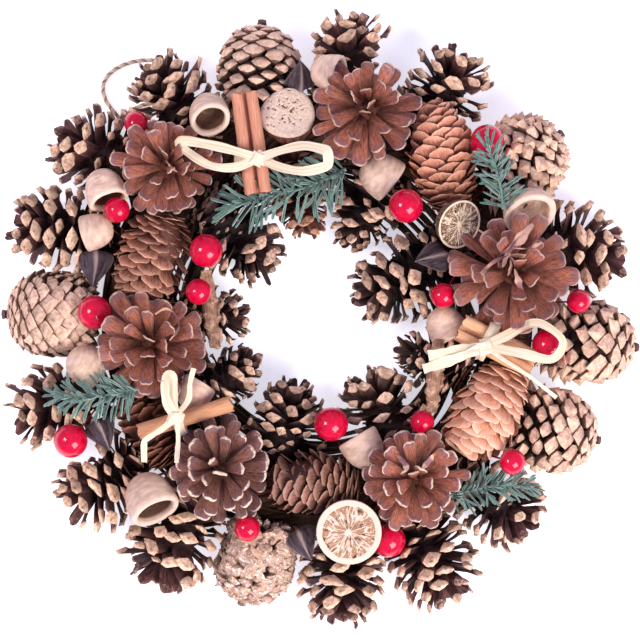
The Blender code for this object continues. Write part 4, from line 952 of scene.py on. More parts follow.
# Berries: moulded foam balls dipped in lacquer, so a deep even red under a hard clear gloss, with the
# lacquer's orange peel. Their florist's wire is wrapped in red paper tape, satin
def berryMaterials():
    lacquer = {"deep": "#be0230", "bright": "#e4063c", "cloudMm": 2.2, "bump": 0.05, "bumpMm": 0.1}
    gloss = {"Roughness": 0.3, "Specular IOR Level": 0.05, "Coat Weight": 0.9, "Coat Roughness": 0.05}
    tape = {"deep": "#5a0a18", "bright": "#961428", "cloudMm": 1.5, "bump": 0}
    satin = {"Roughness": 0.5}
    return [paintMaterial("redLacquer", lacquer, gloss), paintMaterial("paintedWire", tape, satin)]


def buildBerries():
    # x, y, height of the middle, radius, clock angle at which the stem leaves its wire
    sprays = {
        "left": [
            (-99, 105, 46, 6.5, 127), (-109, 58, 52, 7, 150), (-61, 36, 57, 9, 149), (-65, 14, 56, 7, 170),
            (-121, 3, 52, 9.2, 178), (-134, -66, 50, 9.2, 197),
        ],
        "right": [
            (46, 60, 57, 9.2, 54), (90, 95, 48, 9.2, 38), (66, 12, 52, 6.8, 22), (139, 9, 50, 6.5, 4),
            (123, -14.5, 50, 9.2, -6),
        ],
        "lower": [
            (6, -57, 50, 9.2, -79), (55, -56, 50, 6.5, -48), (103, -77, 57, 7, -40),
            (37, -120, 43, 9.2, -73), (-39, -113, 52, 7, -110),
        ],
    }
    materials = berryMaterials()
    bottomToTop = np.linspace(-math.pi / 2 + 0.02, math.pi / 2 - 0.02, 26)
    ball = np.stack([np.cos(bottomToTop), np.sin(bottomToTop)], 1)
    for spray, berries in sprays.items():
        chunks = [wireChunks([b[4] for b in berries], wiring["berryRing"], 1)]
        for x, y, level, radius, angle in berries:
            route = stemLine(angle, wiring["berryRing"], (x, y, level))
            lean = unit(route[-1] - route[-2] + (0, 0, 25))
            rings = turnedRings(ball * radius * (1, 0.98), 32)
            chunks.append(loft(placedAlong(rings, lean, (x, y, level)), 0))
            chunks.append(stemChunk(route, 1))
        makePiece(f"berries_{spray}", chunks, materials, [f"berry_spray_{spray}"], sharp=180)
    print("berries")


buildBerries()


# Seed cups: turned by nature like thin wood, pale and chalky outside with fine rings, painted darker inside as
# painted shade of the hollow. Dark pods: leathery capsules with worn ridges. Cork bark: crumbly and pitted
def podMaterials():
    looks = {
        "cupWood": woodLook(
            "#ccaa90", "#f8dac0", "#ffe8d0", "#4e342a", "#86644e",
            edgeShare=0.6, streakMm=1.2, mottleMm=0.8, toneLow=0.88, toneHigh=1.12, bump=0.25, rough=0.6,
        ),
        "darkPodLeather": woodLook(
            "#241c20", "#62545a", "#a8948c", "#7e6458", "#b0948a",
            edgeShare=0.85, streakMm=1.4, mottleMm=0.9, bump=0.35, rough=0.55,
        ),
        "corkBark": woodLook(
            "#5c4030", "#bc9074", "#d2ac90", "#8e6850", "#dcb898",
            edgeShare=0.5, streakMm=0.9, mottleMm=1.3, bump=0.9, bumpMm=0.8, rough=0.9,
        ),
        "brownWire": woodLook("#3a2a1c", "#6b5138", "#6b5138", "#6b5138", "#8a6c4a", rough=0.6),
    }
    return [coneWood(name, settings) for name, settings in looks.items()]


def cupChunk(radius, axis, middle, seed, depth=1.0, dark=0.9):
    # outside from the foot to the rim, then inside down to the floor, as shares of the radius
    outside = [
        (0.02, -0.9), (0.35, -0.84), (0.62, -0.68), (0.84, -0.36), (0.95, 0.0), (1.0, 0.42), (1.0, 0.64),
    ]
    inside = [
        (0.94, 0.74), (0.84, 0.75), (0.75, 0.68), (0.71, 0.4), (0.66, -0.05), (0.45, -0.4), (0.02, -0.52),
    ]
    sides = 36
    line = smoothLine(outside + inside, 0.055)
    rings = turnedRings(line * radius * (1, depth), sides)
    a = np.arange(sides) * math.tau / sides
    rings[:, :, :2] *= (1 + 0.025 * np.sin(2 * a + seed) + 0.012 * np.sin(5 * a + 2 * seed))[None, :, None]
    rings[:, :, 2] *= 1 + 0.03 * np.sin(a + seed)[None]
    fromRim = np.arange(len(line)) - np.argmax(line[:, 1])
    # inside, past the rim, the cup is painted darker by dark: painted shade of the hollow
    inner = np.clip((fromRim - 3) / 5, 0, 1)[:, None]
    rim = np.exp(-((fromRim / 4.0) ** 2))[:, None]
    grain = rings * (0.22, 0.22, 3.2) + seed * 7
    tone = 0.5 + 0.4 * math.sin(seed * 3)
    return loft(placedAlong(rings, axis, middle), 0, grain=grain, end=inner * dark, edge=rim, tone=tone)


def bowlChunk(radius, axis, middle, seed):
    return cupChunk(radius, axis, middle, seed, depth=0.55, dark=0.42)


def burrChunk(radius, axis, middle, seed):
    # a capsule with four worn ridges, drawn out to a point and a little bowed
    profile = [
        (0.03, -0.80), (0.55, -0.84), (0.96, -0.62), (1.0, -0.30), (0.72, 0.25), (0.36, 0.80), (0.03, 1.25),
    ]
    sides = 48
    line = smoothLine(profile, 0.08)
    rings = turnedRings(line * radius, sides)
    a = np.arange(sides) * math.tau / sides
    ridge = 1 - np.abs(((a * 4 / math.tau + 0.07 * np.sin(a + seed)) % 1) - 0.5) * 2
    rings[:, :, :2] *= (0.66 + 0.42 * (1 - ridge) ** 1.6)[None, :, None]
    rings[:, :, 0] += (0.10 * radius * np.sin((line[:, 1] + 0.8) * 1.5 + seed))[:, None]
    edge = np.clip((0.22 - ridge) / 0.2, 0, 1)
    end = np.clip((np.abs(line[:, 1] - 0.2) - 0.93) * 6, 0, 1)[:, None]
    grain = rings * (1, 1, 0.5) + seed * 9
    return loft(placedAlong(rings, axis, middle), 1, grain=grain, edge=edge, end=end, tone=0.5)


def stripChunk(halfLength, axis, middle, seed):
    # a strip of cork bark, 9 mm across at its middle, bowed, its surface pushed in and out by noise
    stations = 48
    along, rim = np.linspace(-0.5, 0.5, stations), circle(22)
    line = np.stack([np.zeros(stations), 5 * along**2, along * 2 * halfLength], 1)
    broad = rim[:, 0] * 3.7 * (1.25 - np.abs(along))[:, None]
    deep = rim[:, 1] * 2.3 * (1.3 - np.abs(along))[:, None]
    rings = line[:, None] + np.stack(np.broadcast_arrays(broad, deep, 0), -1)
    shift = Vector((seed, 0, 0))
    push = np.array([[noise.fractal(Vector(p) * 0.28 + shift, 1.0, 2.1, 4) for p in ring] for ring in rings])
    rings[:, :, :2] *= (1 + 0.32 * push)[..., None]
    edge, end = np.clip(push + 0.3, 0, 1), np.clip(push * 2, 0, 1)
    return loft(placedAlong(rings, axis, middle), 2, grain=rings, edge=edge, end=end, tone=0.5)


def buildPods():
    # kind, x, y, height, radius or half length, heading and rise of the mouth, clock angle of the stem
    sprays = {
        "upper": [
            ("cup", -60, 111, 48, 11, 285, 48, 114), ("cup", 4, 132, 48, 10, 350, 25, 86),
            ("cup", 32, 78, 41, 12, 325, -8, 84), ("burr", -11, 130, 40, 8, 90, 30, 89),
        ],
        "right": [
            ("bowl", 112, 59, 48, 14.5, 285, 44, 27), ("cup", 67, -3, 38, 10.5, 300, -10, -2),
            ("burr", 61, 33, 40, 8.5, 200, 20, 34), ("strip", 62, -31, 46, 20, 84, 6, -16),
        ],
        "left": [
            ("cup", -116, 70, 46, 11.5, 290, 22, 148), ("cup", -120, 47, 46, 10, 196, -6, 158),
            ("burr", -122, 28, 42, 9.5, 270, 10, 167), ("cup", -127, -25, 43, 11, 330, -30, 190),
            ("strip", -59, 5, 42, 21, 97, 4, 173),
        ],
        "lower": [
            ("cup", -92, -96, 47, 14, 296, 27, 226), ("burr", -118, -62, 43, 8.5, 300, 10, 226),
            ("burr", -9, -121, 41, 8.5, 300, 10, 262), ("cup", -68, -41, 45, 9.5, 60, -10, 219),
            ("cup", 24, -71, 45, 11.5, 120, -4, 290),
        ],
    }
    # one pod's stem goes round the cone that lies in its way
    stemsBy = {(-118, -62): [np.array([-99.0, -90.0, 40.0])]}
    make = {"cup": cupChunk, "bowl": bowlChunk, "burr": burrChunk, "strip": stripChunk}
    materials = podMaterials()
    for spray, pods in sprays.items():
        chunks = [wireChunks([p[7] for p in pods], wiring["podRing"], 3)]
        for k, (kind, x, y, level, size, heading, rise, angle) in enumerate(pods):
            middle, axis = np.array([x, y, level], float), pointing(heading, rise)
            chunks.append(make[kind](size, axis, middle, k + 1.0 + len(spray)))
            grip = middle - axis * ((0.72 if kind == "cup" else 0.2) * size)
            chunks.append(stemChunk(stemLine(angle, wiring["podRing"], grip, stemsBy.get((x, y), ())), 3))
        makePiece(f"pods_{spray}", chunks, materials, [f"pod_spray_{spray}"], sharp=60)
    print("pods")


buildPods()


# Cinnamon: inner bark of the tree, rolled up while it dried. Matt red-brown with pale lines along the quill
cinnamonColours = [
    ("#a8644c", "#e6a280", "#f2c8a6"), ("#aa6c48", "#e8ae7c", "#f4cca2"), ("#b87c52", "#f4c494", "#fcdcb6"),
]


def cinnamonMaterial(k):
    bark = {
        "streakMm": 0.45, "edgeShare": 0.5, "toneLow": 0.9, "toneHigh": 1.1, "bump": 0.4, "bumpMm": 0.2,
        "rough": 0.72,
    }
    return coneWood(f"cinnamonBark{k}", woodLook(*cinnamonColours[k - 1], "#6e3822", "#96563a", **bark))


def quillLine(radius, scrolls):
    # centre line of the bark in section: rolled into one scroll, or from both edges into two
    t = np.linspace(0, 1, 44)
    r, a = radius * (0.30 + 0.62 * t), np.radians(30 - 500 * t)
    one = np.stack([r * np.cos(a), r * np.sin(a)], 1)
    if scrolls == 1:
        return one
    shift = radius * 0.88
    left, right = one * (-1, 1) - (shift, 0), one + (shift, 0)
    return np.vstack([left[:-2], right[-3::-1]])


# x, y, height of the middle, heading, rise, length, radius of a scroll, scrolls
cinnamonSticks = [
    (-37, 94, 52, 98, 3, 54, 4.1, 2), (-72, -54, 57, 17, 2, 52, 5.6, 1), (95, -15, 53, 153, 0, 44, 4.3, 2),
]


def stickFrame(x, y, level, heading, rise):
    axis = pointing(heading, rise)
    flat = unit(np.cross([0, 0, 1], axis))
    return np.stack([flat, np.cross(axis, flat), axis], 1), np.array([x, y, level], float)


def buildCinnamon():
    for k, (x, y, level, heading, rise, length, radius, scrolls) in enumerate(cinnamonSticks, 1):
        line = quillLine(radius, scrolls)
        tangent = unit(np.gradient(line, axis=0))
        across = np.stack([-tangent[:, 1], tangent[:, 0]], 1)
        half = 0.10 * radius
        outline = np.concatenate([line + across * half, (line - across * half)[::-1]])
        if np.cross(outline, np.roll(outline, -1, 0)).sum() < 0:
            outline = outline[::-1]
        inner = np.linalg.norm(np.abs(outline) - (0.88 * radius * (scrolls - 1), 0), axis=1) < 0.6 * radius
        stations = np.linspace(-0.5, 0.5, 34)
        rings, grain = [], []
        for s in stations:
            wave = 1 + 0.018 * math.sin(9 * s + k) + 0.012 * math.sin(23 * s + 2 * k)
            ragged = 0.5 * np.sin(np.arange(len(outline)) * 0.7 + k) * (abs(s) > 0.49)
            rings.append(np.column_stack([outline * wave, s * length + ragged * np.sign(s)]))
            grain.append(np.column_stack([outline * (1.6, 1.6), np.full(len(outline), s * length * 0.35)]))
        turn, middle = stickFrame(x, y, level, heading, rise)
        rings, grain = np.array(rings) @ turn.T + middle, np.array(grain) + 11 * k
        chunk = loft(rings, grain=grain, end=inner * 0.8, edge=0.3, tone=0.35 + 0.2 * k)
        chunk["faces"][1] = endFaces(len(outline), len(stations))
        bark, node = cinnamonMaterial(k), f"cinnamon_stick_{k}"
        makePiece(f"cinnamon{k}", [chunk], [bark], [node], sharp=50)
    print("cinnamon")


def endFaces(sides, count):
    # the quill's cut ends, a strip of quads between the bark's inner and outer side
    half = sides // 2
    k = np.arange(half - 1)
    strip = np.stack([1 + k, 1 + k + 1, 1 + sides - 2 - k, 1 + sides - 1 - k], 1)
    return np.vstack([strip[:, ::-1], strip + (count - 1) * sides])


buildCinnamon()


# Raffia: peeled palm leaf, dried flat. Cream with long parallel fibres and a faint sheen along them
palmRaffia = {
    "colours": [(0.32, "#d2b888"), (0.68, "#f2e4c6")], "stretch": (1, 0.3, 0.03), "fibreMm": 0.9,
    "detail": 2.0, "toneShare": 0.25, "bump": 0.2, "bumpMm": 0.05, "rough": 0.55, "sheen": 0.25,
}


def ribbonChunk(points, width, seed, thick=0.30, spacing=1.0, twist=0.35, up=(0, 0, 1), tone=0.5):
    # a flat strip with a soft fold and creases along it, a little wider here and there
    rng = np.random.default_rng(seed)
    line = smoothLine(points, spacing)
    s = np.linspace(0, 1, len(line))
    spin = twist * np.sin(s * math.tau * rng.uniform(0.6, 1.1) + rng.uniform(0, 6)) * np.sin(s * math.pi)
    swell = 1 + 0.10 * np.sin(s * 9 + rng.uniform(0, 6)) + 0.06 * np.sin(s * 31 + rng.uniform(0, 6))
    wide = width * 0.56 * swell
    across = np.array([1, 0.86, 0.62, 0.36, 0.1, -0.16, -0.42, -0.66, -0.88, -1])
    crease = rng.normal(0, 0.012, len(across))[None] * np.sin(s * 7 + rng.uniform(0, 6))[:, None]
    fold = 0.24 * np.sin(s * 4 + rng.uniform(0, 6))[:, None] * across + crease
    top = np.stack([across * wide[:, None], thick / 2 + fold * wide[:, None]], -1)
    low = np.stack([across[::-1] * wide[:, None], -thick / 2 + fold[:, ::-1] * wide[:, None]], -1)
    rings = alongLine(line, np.concatenate([top, low], 1), up=up, spin=spin)
    x = np.concatenate([across, across[::-1]]) * width / 2
    grain = np.stack(np.broadcast_arrays(x + 7 * seed, 0.0, (s * len(line) * spacing)[:, None]), -1)
    return loft(rings, grain=grain, tone=tone)


def hoopChunk(turn, middle, wide, tall, along, wrap, shift):
    # one turn of raffia round the stick, flat against it
    rim, axis = circle(8), turn[:, 2]
    a = np.linspace(0, math.tau, 40)
    x, y = (wide - 0.35 * wrap) * np.cos(a), (tall - 0.35 * wrap) * np.sin(a)
    hoop = np.stack([x, y, along + shift + 0.5 * np.sin(a + wrap)], 1) @ turn.T + middle
    outward = unit(hoop - middle - axis * along)
    rings = hoop[:, None] + axis * (rim[:, :1] * 1.6) + outward[:, None] * (rim[:, 1:] * 0.3)
    grain = np.stack(np.broadcast_arrays(rim[:, 0] * 1.6 + 3 * wrap, 0.0, (a * 8)[:, None]), -1)
    return loft(rings[:, ::-1], grain=grain, tone=0.4 + 0.15 * wrap)


def buildBows():
    # distance along the stick from its middle, then each loop's and tail's width and points from the knot
    bows = [
        {
            "along": -9,
            "strands": [
                (4.2, [
                    (0, 0, 0), (-14, 4, 3), (-27, 7, 4), (-41, 9, 3), (-40, 5, 3), (-26, -4, 2), (-12, -5, 1),
                    (0, 0, 0),
                ]),
                (4.6, [
                    (0, 0, 0), (12, 4, 4), (24, 6.5, 5), (34, 4.6, 5), (36.6, 3.2, 5), (37.2, -2.6, 4),
                    (35, -4.8, 4), (24, -7, 3), (12, -5, 2), (0, 0, 0),
                ]),
            ],
        },
        {
            "along": -4,
            "strands": [
                (4.4, [(0, 0, 0), (-4, 8, 3), (-5, 16, 5), (-4, 22, 5), (-1, 21, 4), (-1, 10, 2), (0, 0, 0)]),
                (2.6, [(0, 0, 0), (7, 9, 3), (8, 18, 4), (10, 26, 4)]),
                (2.7, [(0, 0, 0), (-7, -6, 0), (-15.5, -11.5, -1.5), (-17, -14, -2), (-17, -24, -4)]),
                (2.2, [(0, 0, 0), (1, -11, 0), (0, -24, -3)]),
            ],
        },
        {
            "along": 6,
            "strands": [
                (4.2, [
                    (0, 0, 0), (11, 5, 2), (25, 12, 4), (34, 10, 5), (42, 2, 4), (36, -7, 3), (20, -4, 2),
                    (0, 0, 0),
                ]),
                (4.8, [(0, 0, 0), (-14, -2, 1), (-30, -5, 0)]),
                (5.0, [(0, 0, 0), (-15, -6, 0), (-33, -12, -2)]),
                (1.8, [(0, 0, 0), (10, -7, 0), (24, -16, -1), (38, -27, -3)]),
            ],
        },
    ]
    material = fibreMaterial("palmRaffia", palmRaffia)
    for k, (bow, stick) in enumerate(zip(bows, cinnamonSticks), 1):
        radius, scrolls = stick[6:]
        turn, middle = stickFrame(*stick[:5])
        wide, tall = radius * (2.02 if scrolls == 2 else 1.05) + 2.15, radius * 1.05 + 2.15
        chunks = []
        for wrap, shift in enumerate((-1.5, 0.2, 1.6)):
            chunks.append(hoopChunk(turn, middle, wide, tall, bow["along"], wrap, shift))
        around = [
            turn @ np.array([wide * math.cos(t), tall * math.sin(t), bow["along"]]) + middle
            for t in np.arange(10) * math.tau / 10
        ]
        knot = max(around, key=lambda point: point[2]) + (0, 0, 1.6)
        for n, (width, points) in enumerate(bow["strands"]):
            start = knot + (0.3 * n - 0.6, 0.4 - 0.25 * n, 0.35 * n - 0.5)
            chunks.append(ribbonChunk(start + np.array(points, float), width, 10 * k + n, tone=0.3 + 0.2 * n))
        for n, heading in enumerate((35, 130)):
            along = pointing(heading + 20 * k, 0)
            drape = [
                knot + along * d + (0, 0, 1.5 - 0.11 * d * d + 0.2 * n) for d in (-4.2, -2.4, 0, 2.4, 4.2)
            ]
            chunks.append(ribbonChunk(drape, 5.4 - n, 60 + 10 * k + n, thick=0.5, twist=0.15, tone=0.7))
        makePiece(f"raffiaBow{k}", chunks, [material], [f"raffia_bow_{k}"], sharp=60)
    print("bows")


buildBows()


# Dried citrus: cut across and kiln dried, a pale ring of rind round flesh that shrank between membranes
driedFlesh = {
    "streakMm": 0.7, "mottleMm": 0.6, "edgeShare": 0.4, "bump": 0.5, "rough": 0.6, "toneLow": 0.75,
    "toneHigh": 1.25,
}
driedRind = {"streakMm": 1.6, "mottleMm": 0.7, "bump": 0.6, "rough": 0.62}
faceRings, faceSides = 46, 176


def fruitMaterials(name, rind, pith, fleshDark, flesh):
    cut = coneWood(name + "Flesh", woodLook(fleshDark, flesh, flesh, pith, pith, **driedFlesh))
    skin = coneWood(name + "Rind", woodLook(rind[0], rind[1], rind[1], rind[1], rind[1], **driedRind))
    return [cut, skin]


def cutFace(plan):
    # points, pith marks and painted shade of a cut face on a polar grid: membranes, torn fibres, holes and the
    # rim
    radius, segments, seed = plan["radius"], plan["segments"], plan["seed"]

    def cloud(x, y, layer=0):
        return noise.noise(Vector((x, y, seed + layer)))

    r = np.linspace(0.01, 1, faceRings) ** 0.8
    a = np.arange(faceSides) * math.tau / faceSides
    height, pith, shade = np.zeros((3, faceRings, faceSides))
    for i in range(faceRings):
        for j in range(faceSides):
            x, y = r[i] * math.cos(a[j]), r[i] * math.sin(a[j])
            turn = a[j] + (0.14 * cloud(3 * x, 3 * y) + 0.016 * cloud(9 * x, 9 * y))
            off = abs((turn * segments / math.tau) % 1 - 0.5) * math.tau / segments * r[i] * radius
            wall = max(0.0, 1 - off / (0.62 + 0.4 * cloud(2 * x, 2 * y, 5)))
            fibre = 0.0
            for fine, layer in ((7, 9), (13, 14)):
                fibre = max(fibre, 1 - abs(cloud(fine * turn, 1.9 * r[i], layer)) * (3.4 + 4 * r[i]))
            fibre *= min(1.0, 1.9 - 1.3 * r[i])
            heart = min(1, max(0, (0.15 + 0.1 * cloud(6 * x, 6 * y) - r[i]) / 0.08))
            outer = min(1, max(0, (r[i] - plan["rim"] - 0.03 * cloud(5 * x, 5 * y)) / 0.025))
            pith[i, j] = max(0.7 * wall, 0.85 * fibre, heart, outer)
            # holes in the flesh are sunk and painted darker: painted shade in the hollows
            hole = cloud(7 * x, 7 * y, 20)
            shade[i, j] = -1.6 * min(1, max(0, (hole - 0.28) * 5)) * (1 - pith[i, j]) + 0.5
            height[i, j] = -plan["sunk"] * (1 - pith[i, j]) * (0.9 - 0.5 * shade[i, j])
    height = height - 0.35 * np.clip((r - 0.985) / 0.015, 0, 1)[:, None]
    x, y = r[:, None] * radius * np.cos(a), r[:, None] * radius * np.sin(a)
    return np.stack([x, y, height], 2), pith, shade


def buildFruit():
    # rim is where the rind begins, as a share of the radius, and sunk is how deep the flesh lies
    citrus = {
        "at": (15.5, -114.8, 55.8), "radius": 17.5, "heading": 270, "tilt": 6, "segments": 10, "rim": 0.80,
        "sunk": 0.8, "seed": 1,
    }
    face, pith, shade = cutFace(citrus)
    side = np.array([[1.0, -0.5], [1.0, -0.8], [0.985, -3.4], [0.95, -4.0], [0.5, -4.0], [0.02, -4.0]])
    lower = turnedRings(side[::-1] * (citrus["radius"], 1), faceSides)
    rings = np.concatenate([lower, face[::-1]])  # from the rim to the heart, so that the face looks up
    marks = np.concatenate([np.ones(lower.shape[:2]), pith[::-1]])
    tones = np.concatenate([np.full(lower.shape[:2], 0.5), shade[::-1]])
    way = pointing(citrus["heading"], 90 - citrus["tilt"])
    chunk = loft(placedAlong(rings, way, citrus["at"]), grain=rings, end=marks, tone=tones)
    materials = fruitMaterials("orange", ("#a87c58", "#dfc6aa"), "#e6d4be", "#8a6044", "#cca07a")
    makePiece("citrusSlice", [chunk], materials, ["citrus_slice"], sharp=60)

    lime = {
        "at": (75, 50, 55), "radius": 13.5, "depth": 13.0, "heading": 330, "tilt": 38, "segments": 9,
        "rim": 0.90, "sunk": 0.9, "seed": 4,
    }
    face, pith, shade = cutFace(lime)
    outline = [
        (0.02, -1.0), (0.30, -0.97), (0.62, -0.80), (0.88, -0.5), (0.985, -0.22), (1.0, -0.04),
        (0.93, -0.14),
    ]
    rindLine = smoothLine(outline, 0.07)
    rind = turnedRings(rindLine * (lime["radius"], lime["depth"]), faceSides)
    a = np.arange(faceSides) * math.tau / faceSides
    rind[:, :, :2] *= (1 - 0.035 * np.abs(np.sin(4.5 * a + 1)) * np.clip(-rind[:, :, 2] / 5, 0, 1))[..., None]
    way = pointing(lime["heading"], 90 - lime["tilt"])
    skin = loft(placedAlong(rind, way, lime["at"]), 1, grain=rind, tone=0.5)
    below = rind[-1:] * (1, 1, 0) + (0, 0, -1.7)
    flesh = placedAlong(np.concatenate([below, face[::-1]]), way, lime["at"])
    marks = np.concatenate([np.ones((1, faceSides)), pith[::-1]])
    tones = np.concatenate([np.full((1, faceSides), 0.5), shade[::-1]])
    cut = loft(flesh, 0, grain=np.concatenate([face[-1:], face[::-1]]), end=marks, tone=tones)
    materials = fruitMaterials("lime", ("#4c3c34", "#86705e"), "#f2dfc0", "#5a3c2c", "#aa8060")
    makePiece("limeHalf", [cut, skin], materials, ["dried_lime_half"], sharp=60)
    print("fruit")


buildFruit()


# Spongy pod: sawn through, so the face is open pith with pores, and the side is fibrous bark in ridges
def buildSpongyPod():
    plan = {"at": (-17, 107), "radius": 15.0, "foot": 21.0, "height": 26.0, "tilt": 22.0, "sides": 110}
    r, h = plan["radius"], plan["height"]
    side = [
        (0.3, 0), (0.55 * r, 0.02 * h), (0.66 * r, 0.15 * h), (0.86 * r, 0.48 * h), (0.97 * r, 0.80 * h),
        (r, 0.90 * h), (0.94 * r, 0.965 * h),
    ]
    sideLine = smoothLine(side, 0.9)
    faceLine = smoothLine([side[-1], (0.85 * r, 0.985 * h), (0.5 * r, 0.995 * h), (0.2, h)], 0.45)[1:]
    rings = turnedRings(np.vstack([sideLine, faceLine]), plan["sides"])
    a = np.arange(plan["sides"]) * math.tau / plan["sides"]
    low = np.clip(1 - rings[:, :, 2] / (0.9 * h), 0, 1)
    wave = np.abs(np.sin(8 * a + 0.6 * np.sin(3 * a)))[None] ** 0.7
    rings[:, :, :2] *= (1 - 0.15 * (1 - wave) * np.clip(low * 4, 0, 1))[..., None]
    rings[:, :, :2] *= (1 + 0.03 * np.sin(3 * a + 1))[None, :, None]
    count = len(sideLine)
    pore = np.zeros(rings.shape[:2])
    for i in range(len(rings)):
        for j in range(plan["sides"]):
            p = Vector(rings[i, j])
            if i >= count:
                away = math.hypot(p.x - 1.5, p.y + 1)
                ray = 0.5 + 0.5 * math.sin(14 * math.atan2(p.y + 1, p.x - 1.5) + 2 * noise.noise(p * 0.3))
                pit = noise.noise(p * 0.55) + 0.6 * noise.noise(p * 1.2) + 0.25 * ray * (away < 8)
                pore[i, j] = min(1, max(0, (pit - 0.30) * 3.0)) * (away > 1.6) * (away < 0.88 * r)
            else:
                pore[i, j] = 0.2 * noise.noise(p * 0.5)
    rings[:, :, 2] -= np.where(np.arange(len(rings))[:, None] >= count, 1.1 * pore, 0)
    up = pointing(98, 90 - plan["tilt"])
    lift = 0.62 * r * math.sin(math.radians(plan["tilt"]))
    foot = np.array([*plan["at"], plan["foot"] + lift]) - np.array([up[0], up[1], 0]) * (h * 0.6)
    pithLook = woodLook(
        "#3e221c", "#8a5546", "#aa7460", "#e0ba9a", "#fff0da",
        streakMm=0.9, mottleMm=0.8, edgeShare=0.4, bump=0.9, bumpMm=0.5, rough=0.9, toneLow=0.85,
        toneHigh=1.1,
    )
    # the pores are painted darker than the pith round them: painted shade in the pits
    end = (np.arange(len(rings)) >= count - 2)[:, None] * np.clip(1 - 0.75 * pore, 0, 1)
    chunk = loft(placedAlong(rings, up, foot), grain=rings, end=end, edge=1 - low, tone=0.5)
    pith = coneWood("spongyPith", pithLook)
    makePiece("spongyPod", [chunk], [pith], ["spongy_pod"], sharp=60)
    print("spongy pod")


buildSpongyPod()


# Fir: moulded polyethylene needles on a wired stem, blue-green with paler moulded edges and a soft shine
def firMaterial():
    moulded = {
        "edgeShare": 0.75, "endFrom": 0.8, "endTo": 1.3, "streakMm": 0.8, "mottleMm": 2.5, "toneLow": 0.75,
        "toneHigh": 1.2, "bump": 0.1, "rough": 0.45,
    }
    return coneWood("mouldedFir", woodLook("#30564a", "#6a9282", "#b4cabe", "#a8c0b2", "#c8dacc", **moulded))


def needleChunk(root, way, up, length, width, tone, bend):
    # a flat needle with a groove along its upper side, bent down and to one side
    x = np.array([1, 0.72, 0, -0.72, -1, -0.72, 0, 0.72])
    y = np.array([0, 1, 0.35, 1, 0, -1, -1, -1]) * 0.36
    s = np.array([0, 0.12, 0.4, 0.7, 0.88, 0.97, 1.0])
    wide = np.array([0.35, 0.5, 0.8, 1.0, 0.95, 0.62, 0.2]) * width / 2
    side = unit(np.cross(up, way))
    over = np.cross(way, side)
    line = np.asarray(root) + way * (s * length)[:, None] - over * (0.10 * length * s**2)[:, None]
    line = line + side * (bend * s**2)[:, None]
    thick = np.minimum(1, wide / 0.5)
    section = side * (x * wide[:, None])[..., None] + over * (y * thick[:, None])[..., None]
    grain = np.stack(np.broadcast_arrays(x * wide[:, None] + 40 * tone, y, (s * length)[:, None]), -1)
    return loft(line[:, None] + section, grain=grain, edge=np.clip((np.abs(x) - 0.5) * 2, 0, 1), tone=tone)


def buildFir():
    # stem from its cut end to its tip, needle length, steps along the stem, share of the left side that is
    # filled, needle width
    sprigs = {
        "upper": ([(14, 80, 48.5), (-6, 71, 45.5), (-26, 66, 44), (-48, 61, 47.5)], 22, 38, 0.85, 1.8),
        "right": ([(98, 58, 60), (97, 68, 60), (94, 80, 61), (89, 93, 63)], 15, 26, 1.0, 1.35),
        "left": ([(-98, -38, 53), (-110, -41, 54), (-124, -42, 55), (-140, -42, 53)], 16, 27, 1.0, 1.75),
        "lower": ([(70, -96, 46), (84, -92, 47), (98, -90, 48), (112, -90, 47)], 15, 27, 1.0, 1.45),
    }
    material = firMaterial()
    count = 0
    for n, (place, (stem, length, steps, leftShare, width)) in enumerate(sprigs.items()):
        rng = np.random.default_rng(500 + n)
        line = smoothLine(stem, 1.0)
        taper = np.linspace(1.1, 0.5, len(line))
        chunks = [loft(alongLine(line, circle(8), size=taper), edge=0.5, tone=0.4)]
        tangent = unit(np.gradient(line, axis=0))
        for hand in (1, -1, 0):  # the left row, the right row and the upper one
            for k in range(steps):
                share = (k + 0.5) / steps
                if hand == 1 and rng.random() > leftShare:
                    continue
                at = min(len(line) - 1, round(share * (len(line) - 1)))
                along = tangent[at]
                side = unit(np.cross([0, 0, 1.0], along))
                lean = math.radians(60 - 40 * share**3 + rng.normal(0, 13))
                rise = rng.normal(0.12, 0.22) if hand else rng.uniform(0.6, 1.2)
                aside = side * (hand if hand else rng.choice([-0.5, 0.5]))
                way = unit(aside * math.sin(lean) + along * math.cos(lean) + np.array([0, 0, rise]))
                reach = length * rng.uniform(0.66, 1.0) * (1 - 0.25 * share**4) * (1 if hand else 0.55)
                up = unit(np.array([rng.normal(0, 0.5), rng.normal(0, 0.5), 1.0]))
                bend = rng.normal(0, 0.15) * reach
                wide, tone = width * rng.uniform(0.82, 1.18), rng.random()
                chunks.append(needleChunk(line[at], way, up, reach, wide, tone, bend))
                count += 1
        makePiece(f"firSprig_{place}", chunks, [material], [f"fir_sprig_{place}"], sharp=70)
    print("fir,", count, "needles")


buildFir()


